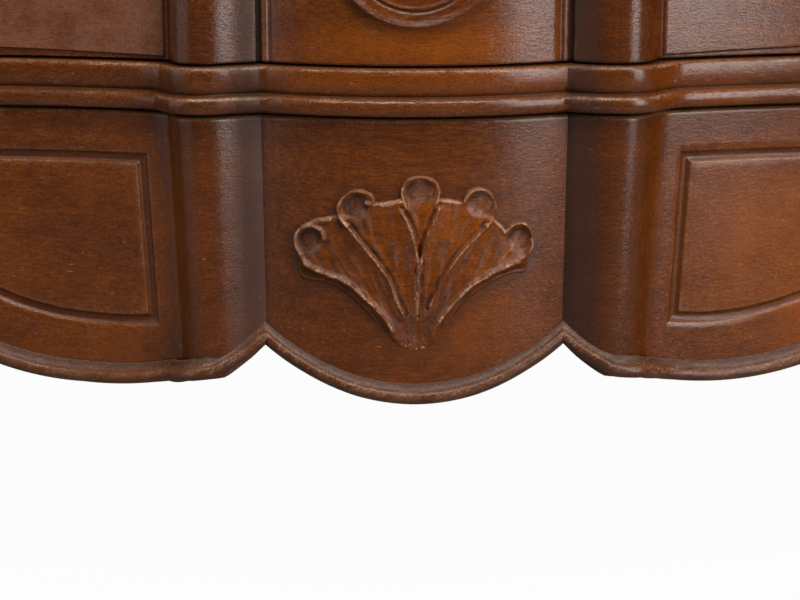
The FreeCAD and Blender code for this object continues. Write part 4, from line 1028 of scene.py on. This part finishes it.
def upper_front(drawer):
    low, high = (v.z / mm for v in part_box(f"{drawer}_drawer_front"))
    run = front_run(UPPER_PLACES, 0.0)
    x, normal = run[:, 0], run[:, 2:]
    strip = np.interp(abs(x), (150, 165, 285, 330), (2.6, 2.6, 6.0, 6.2))
    near = [np.full(len(x), d) for d in (edge_round, 1.45)]
    near += [strip + s for s in field_steps + (5, 9, 15, 22)]
    rows = [(low + d, d) for d in near]
    rows += [(low + near[-1] + (high - low - 2 * near[-1]) * i / 12, None) for i in range(1, 12)]
    rows += [(high - d, d) for d in reversed(near)]
    bead = np.interp(abs(x), bead_at, bead_out, 0, 0)
    inner_edge = ease(abs(x), field_in - 1.4, field_in + 1.4)
    sides = np.minimum(inner_edge, ease(-abs(x), -field_out - 1.4, 1.4 - field_out))
    # Painted sheen: the raised fields are greyed as by a reflection, strongly on the left and faintly on the
    # right.
    sheen_strength = np.where(x < 0, np.interp(-x, (300, 450), (0.4, 0.08)), 0.04)
    laid, dust_and_sheen = [], []
    for level, margin in rows:
        lift = sides if margin is None else np.minimum(sides, ease(margin - strip, -0.8, 0.8))
        out = bead + raised * lift
        laid.append(np.c_[run[:, :2] + normal * out[:, None], level])
        dust_and_sheen.append(lift * sheen_strength)
    for angle in (25, 55, 90):
        back = edge_round * (1 - math.cos(math.radians(angle)))
        step = edge_round - edge_round * math.sin(math.radians(angle))
        inner = run[:, :2] + normal * (bead - back)[:, None]
        laid.insert(0, at_height(inner, low + step))
        laid.append(at_height(inner, high - step))
    piece = laid_grid(f"{drawer}_drawer_front_board", laid)
    write_mark(piece, "hazed", np.pad(dust_and_sheen, ((3, 3), (0, 0))))
    close_rim(piece, to_seat)
    mark_wear(piece, 3.0)
    mark_column_shade(piece)
    mark_faded(piece, low + 12.0, 16.0, (0.0, 75.0, 1.0))
    finish_piece(piece, f"{drawer}_drawer", WALNUT_UPPER, "show_wood", f"{drawer}_drawer_front", smooth=40)


WALNUT_UPPER = polished_walnut("polished_walnut_upper", 0, 0.0, sheen=0.045, gloss=0.28)
upper_front("middle")
upper_front("top")

# Roundels: a turned walnut ring with a cove inside its rim and a thin bead round a flat disc,
# glued to the bowed middle of each upper drawer.
ROUNDEL = (
    (54.0, -2.0), (54.0, 4.0), (53.6, 5.0), (52.8, 5.4), (51.6, 4.8), (50.0, 3.7), (48.2, 2.8), (46.4, 2.2),
    (45.0, 1.7), (44.3, 0.8), (43.8, 0.2), (43.3, 0.3), (42.8, 1.2), (42.2, 1.9), (41.5, 2.0), (40.8, 1.5),
    (40.0, 1.0), (38.0, 1.0), (30.0, 1.3), (18.0, 1.6), (6.0, 1.7), (0.0, 1.7),
)


def roundel(drawer):
    low, high = (v.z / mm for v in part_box(f"{drawer}_drawer_front"))
    turn = np.linspace(0, 2 * math.pi, 129)
    rows = []
    for radius, out in ROUNDEL:
        rows.append(on_bow(radius * np.cos(turn), (low + high) / 2 + radius * np.sin(turn), out))
    piece = laid_grid(f"{drawer}_drawer_roundel_turned", rows)
    close_rim(piece)
    mark_wear(piece, 2.2)
    finish_piece(piece, f"{drawer}_drawer", WALNUT_ACROSS, "show_wood", f"{drawer}_drawer_roundel", smooth=50)


roundel("middle")
roundel("top")

# Drawer boxes: oak sides dovetailed into the fronts, a lower back and a thin bottom that slides
# in grooves, all planed and left unpolished.
for drawer in ("bottom", "middle", "top"):
    for part in ("left_side", "right_side", "bottom"):
        eased_copy(f"{drawer}_drawer_{part}", f"{drawer}_drawer", OAK_DEEP, "inner_wood", 0.7)
    eased_copy(f"{drawer}_drawer_back", f"{drawer}_drawer", OAK_ACROSS, "inner_wood", 0.7)

# Pulls: cast brass bails that swing in the drilled heads of two turned posts on small rosettes,
# with square nuts inside the drawer.
for drawer in ("bottom", "middle", "top"):
    for part in ("pull_rosettes", "pull_posts", "left_bail", "right_bail"):
        paint(nodes[f"{drawer}_{part}"], OLD_BRASS)

# Floor, lamps and camera: a white sweep, soft boxes to the right, the left, above and behind,
# and a long lens looking a little down at the lower middle of the front.
floor_seen, floor_mirrored, room_light = 0.97, 0.08, 0.1


def white_floor():
    bpy.ops.object.select_all(action="DESELECT")
    bpy.ops.mesh.primitive_grid_add(x_subdivisions=2, y_subdivisions=2, size=12.0)
    floor = bpy.context.object
    floor.name = "studio_floor"
    finish, pen, shader = new_finish("white_floor")
    pen.fill(shader.inputs, {"Base Color": (0.3, 0.3, 0.3, 1.0), "Roughness": 0.9})
    glow = pen.node("Emission", {}, {"Color": (1, 1, 1, 1), "Strength": 1.0})
    kinds = ("Camera", "Glossy", "Transmission")
    seen, mirrored, through = (pen.node("LightPath", {}, {}, f"Is {kind} Ray") for kind in kinds)
    share = seen * floor_seen + (mirrored + through) * floor_mirrored
    mixed = pen.node("MixShader", {}, {0: share, 1: Shade(pen.tree, shader.outputs[0]), 2: glow})
    out = pen.tree.nodes["Material Output"]
    pen.tree.links.new(mixed.socket, out.inputs["Surface"])
    floor.data.materials.append(finish)


white_floor()
world = bpy.data.worlds.new("studio")
bpy.context.scene.world = world
world.use_nodes = True
sky = Shade(world.node_tree)
ray = sky.node("LightPath", {}, {}, "Is Camera Ray")
backdrop = world.node_tree.nodes["Background"]
backdrop.inputs["Color"].default_value = (1, 1, 1, 1)
strength = room_light + ray * (1 - room_light)
world.node_tree.links.new(strength.socket, backdrop.inputs["Strength"])


def soft_box(name, place, aim, size, power):
    lamp = bpy.data.lights.new(name, "AREA")
    lamp.shape = "RECTANGLE"
    lamp.size, lamp.size_y = size
    lamp.energy = power
    holder = bpy.data.objects.new(name, lamp)
    bpy.context.scene.collection.objects.link(holder)
    holder.location = place
    x, y, z = np.subtract(place, aim)
    holder.rotation_euler = (math.atan2(math.hypot(x, y), z), 0.0, math.atan2(x, -y))


soft_box("right_box", (1.3, -1.6, 1.05), (0, -0.25, 0.6), (0.7, 2.0), 44)
soft_box("left_box", (-2.1, -1.1, 0.9), (0, -0.25, 0.4), (2.2, 1.8), 17)
soft_box("over_box", (0.15, -1.15, 2.3), (0, -0.3, 0.4), (2.0, 0.32), 38)
soft_box("back_box", (-0.9, 2.4, 1.5), (0, 0.3, 0.4), (1.4, 1.2), 30)

lens = bpy.data.cameras.new("camera")
lens.sensor_width = 36.0
lens.lens = 108.0
camera = bpy.data.objects.new("camera", lens)
bpy.context.scene.collection.objects.link(camera)
camera.location = (-0.0372, -1.818, 0.6033)
camera.rotation_euler = (math.radians(76.04), 0.0, math.radians(-1.01))
bpy.context.scene.camera = camera
bpy.context.scene.view_settings.view_transform = "Standard"
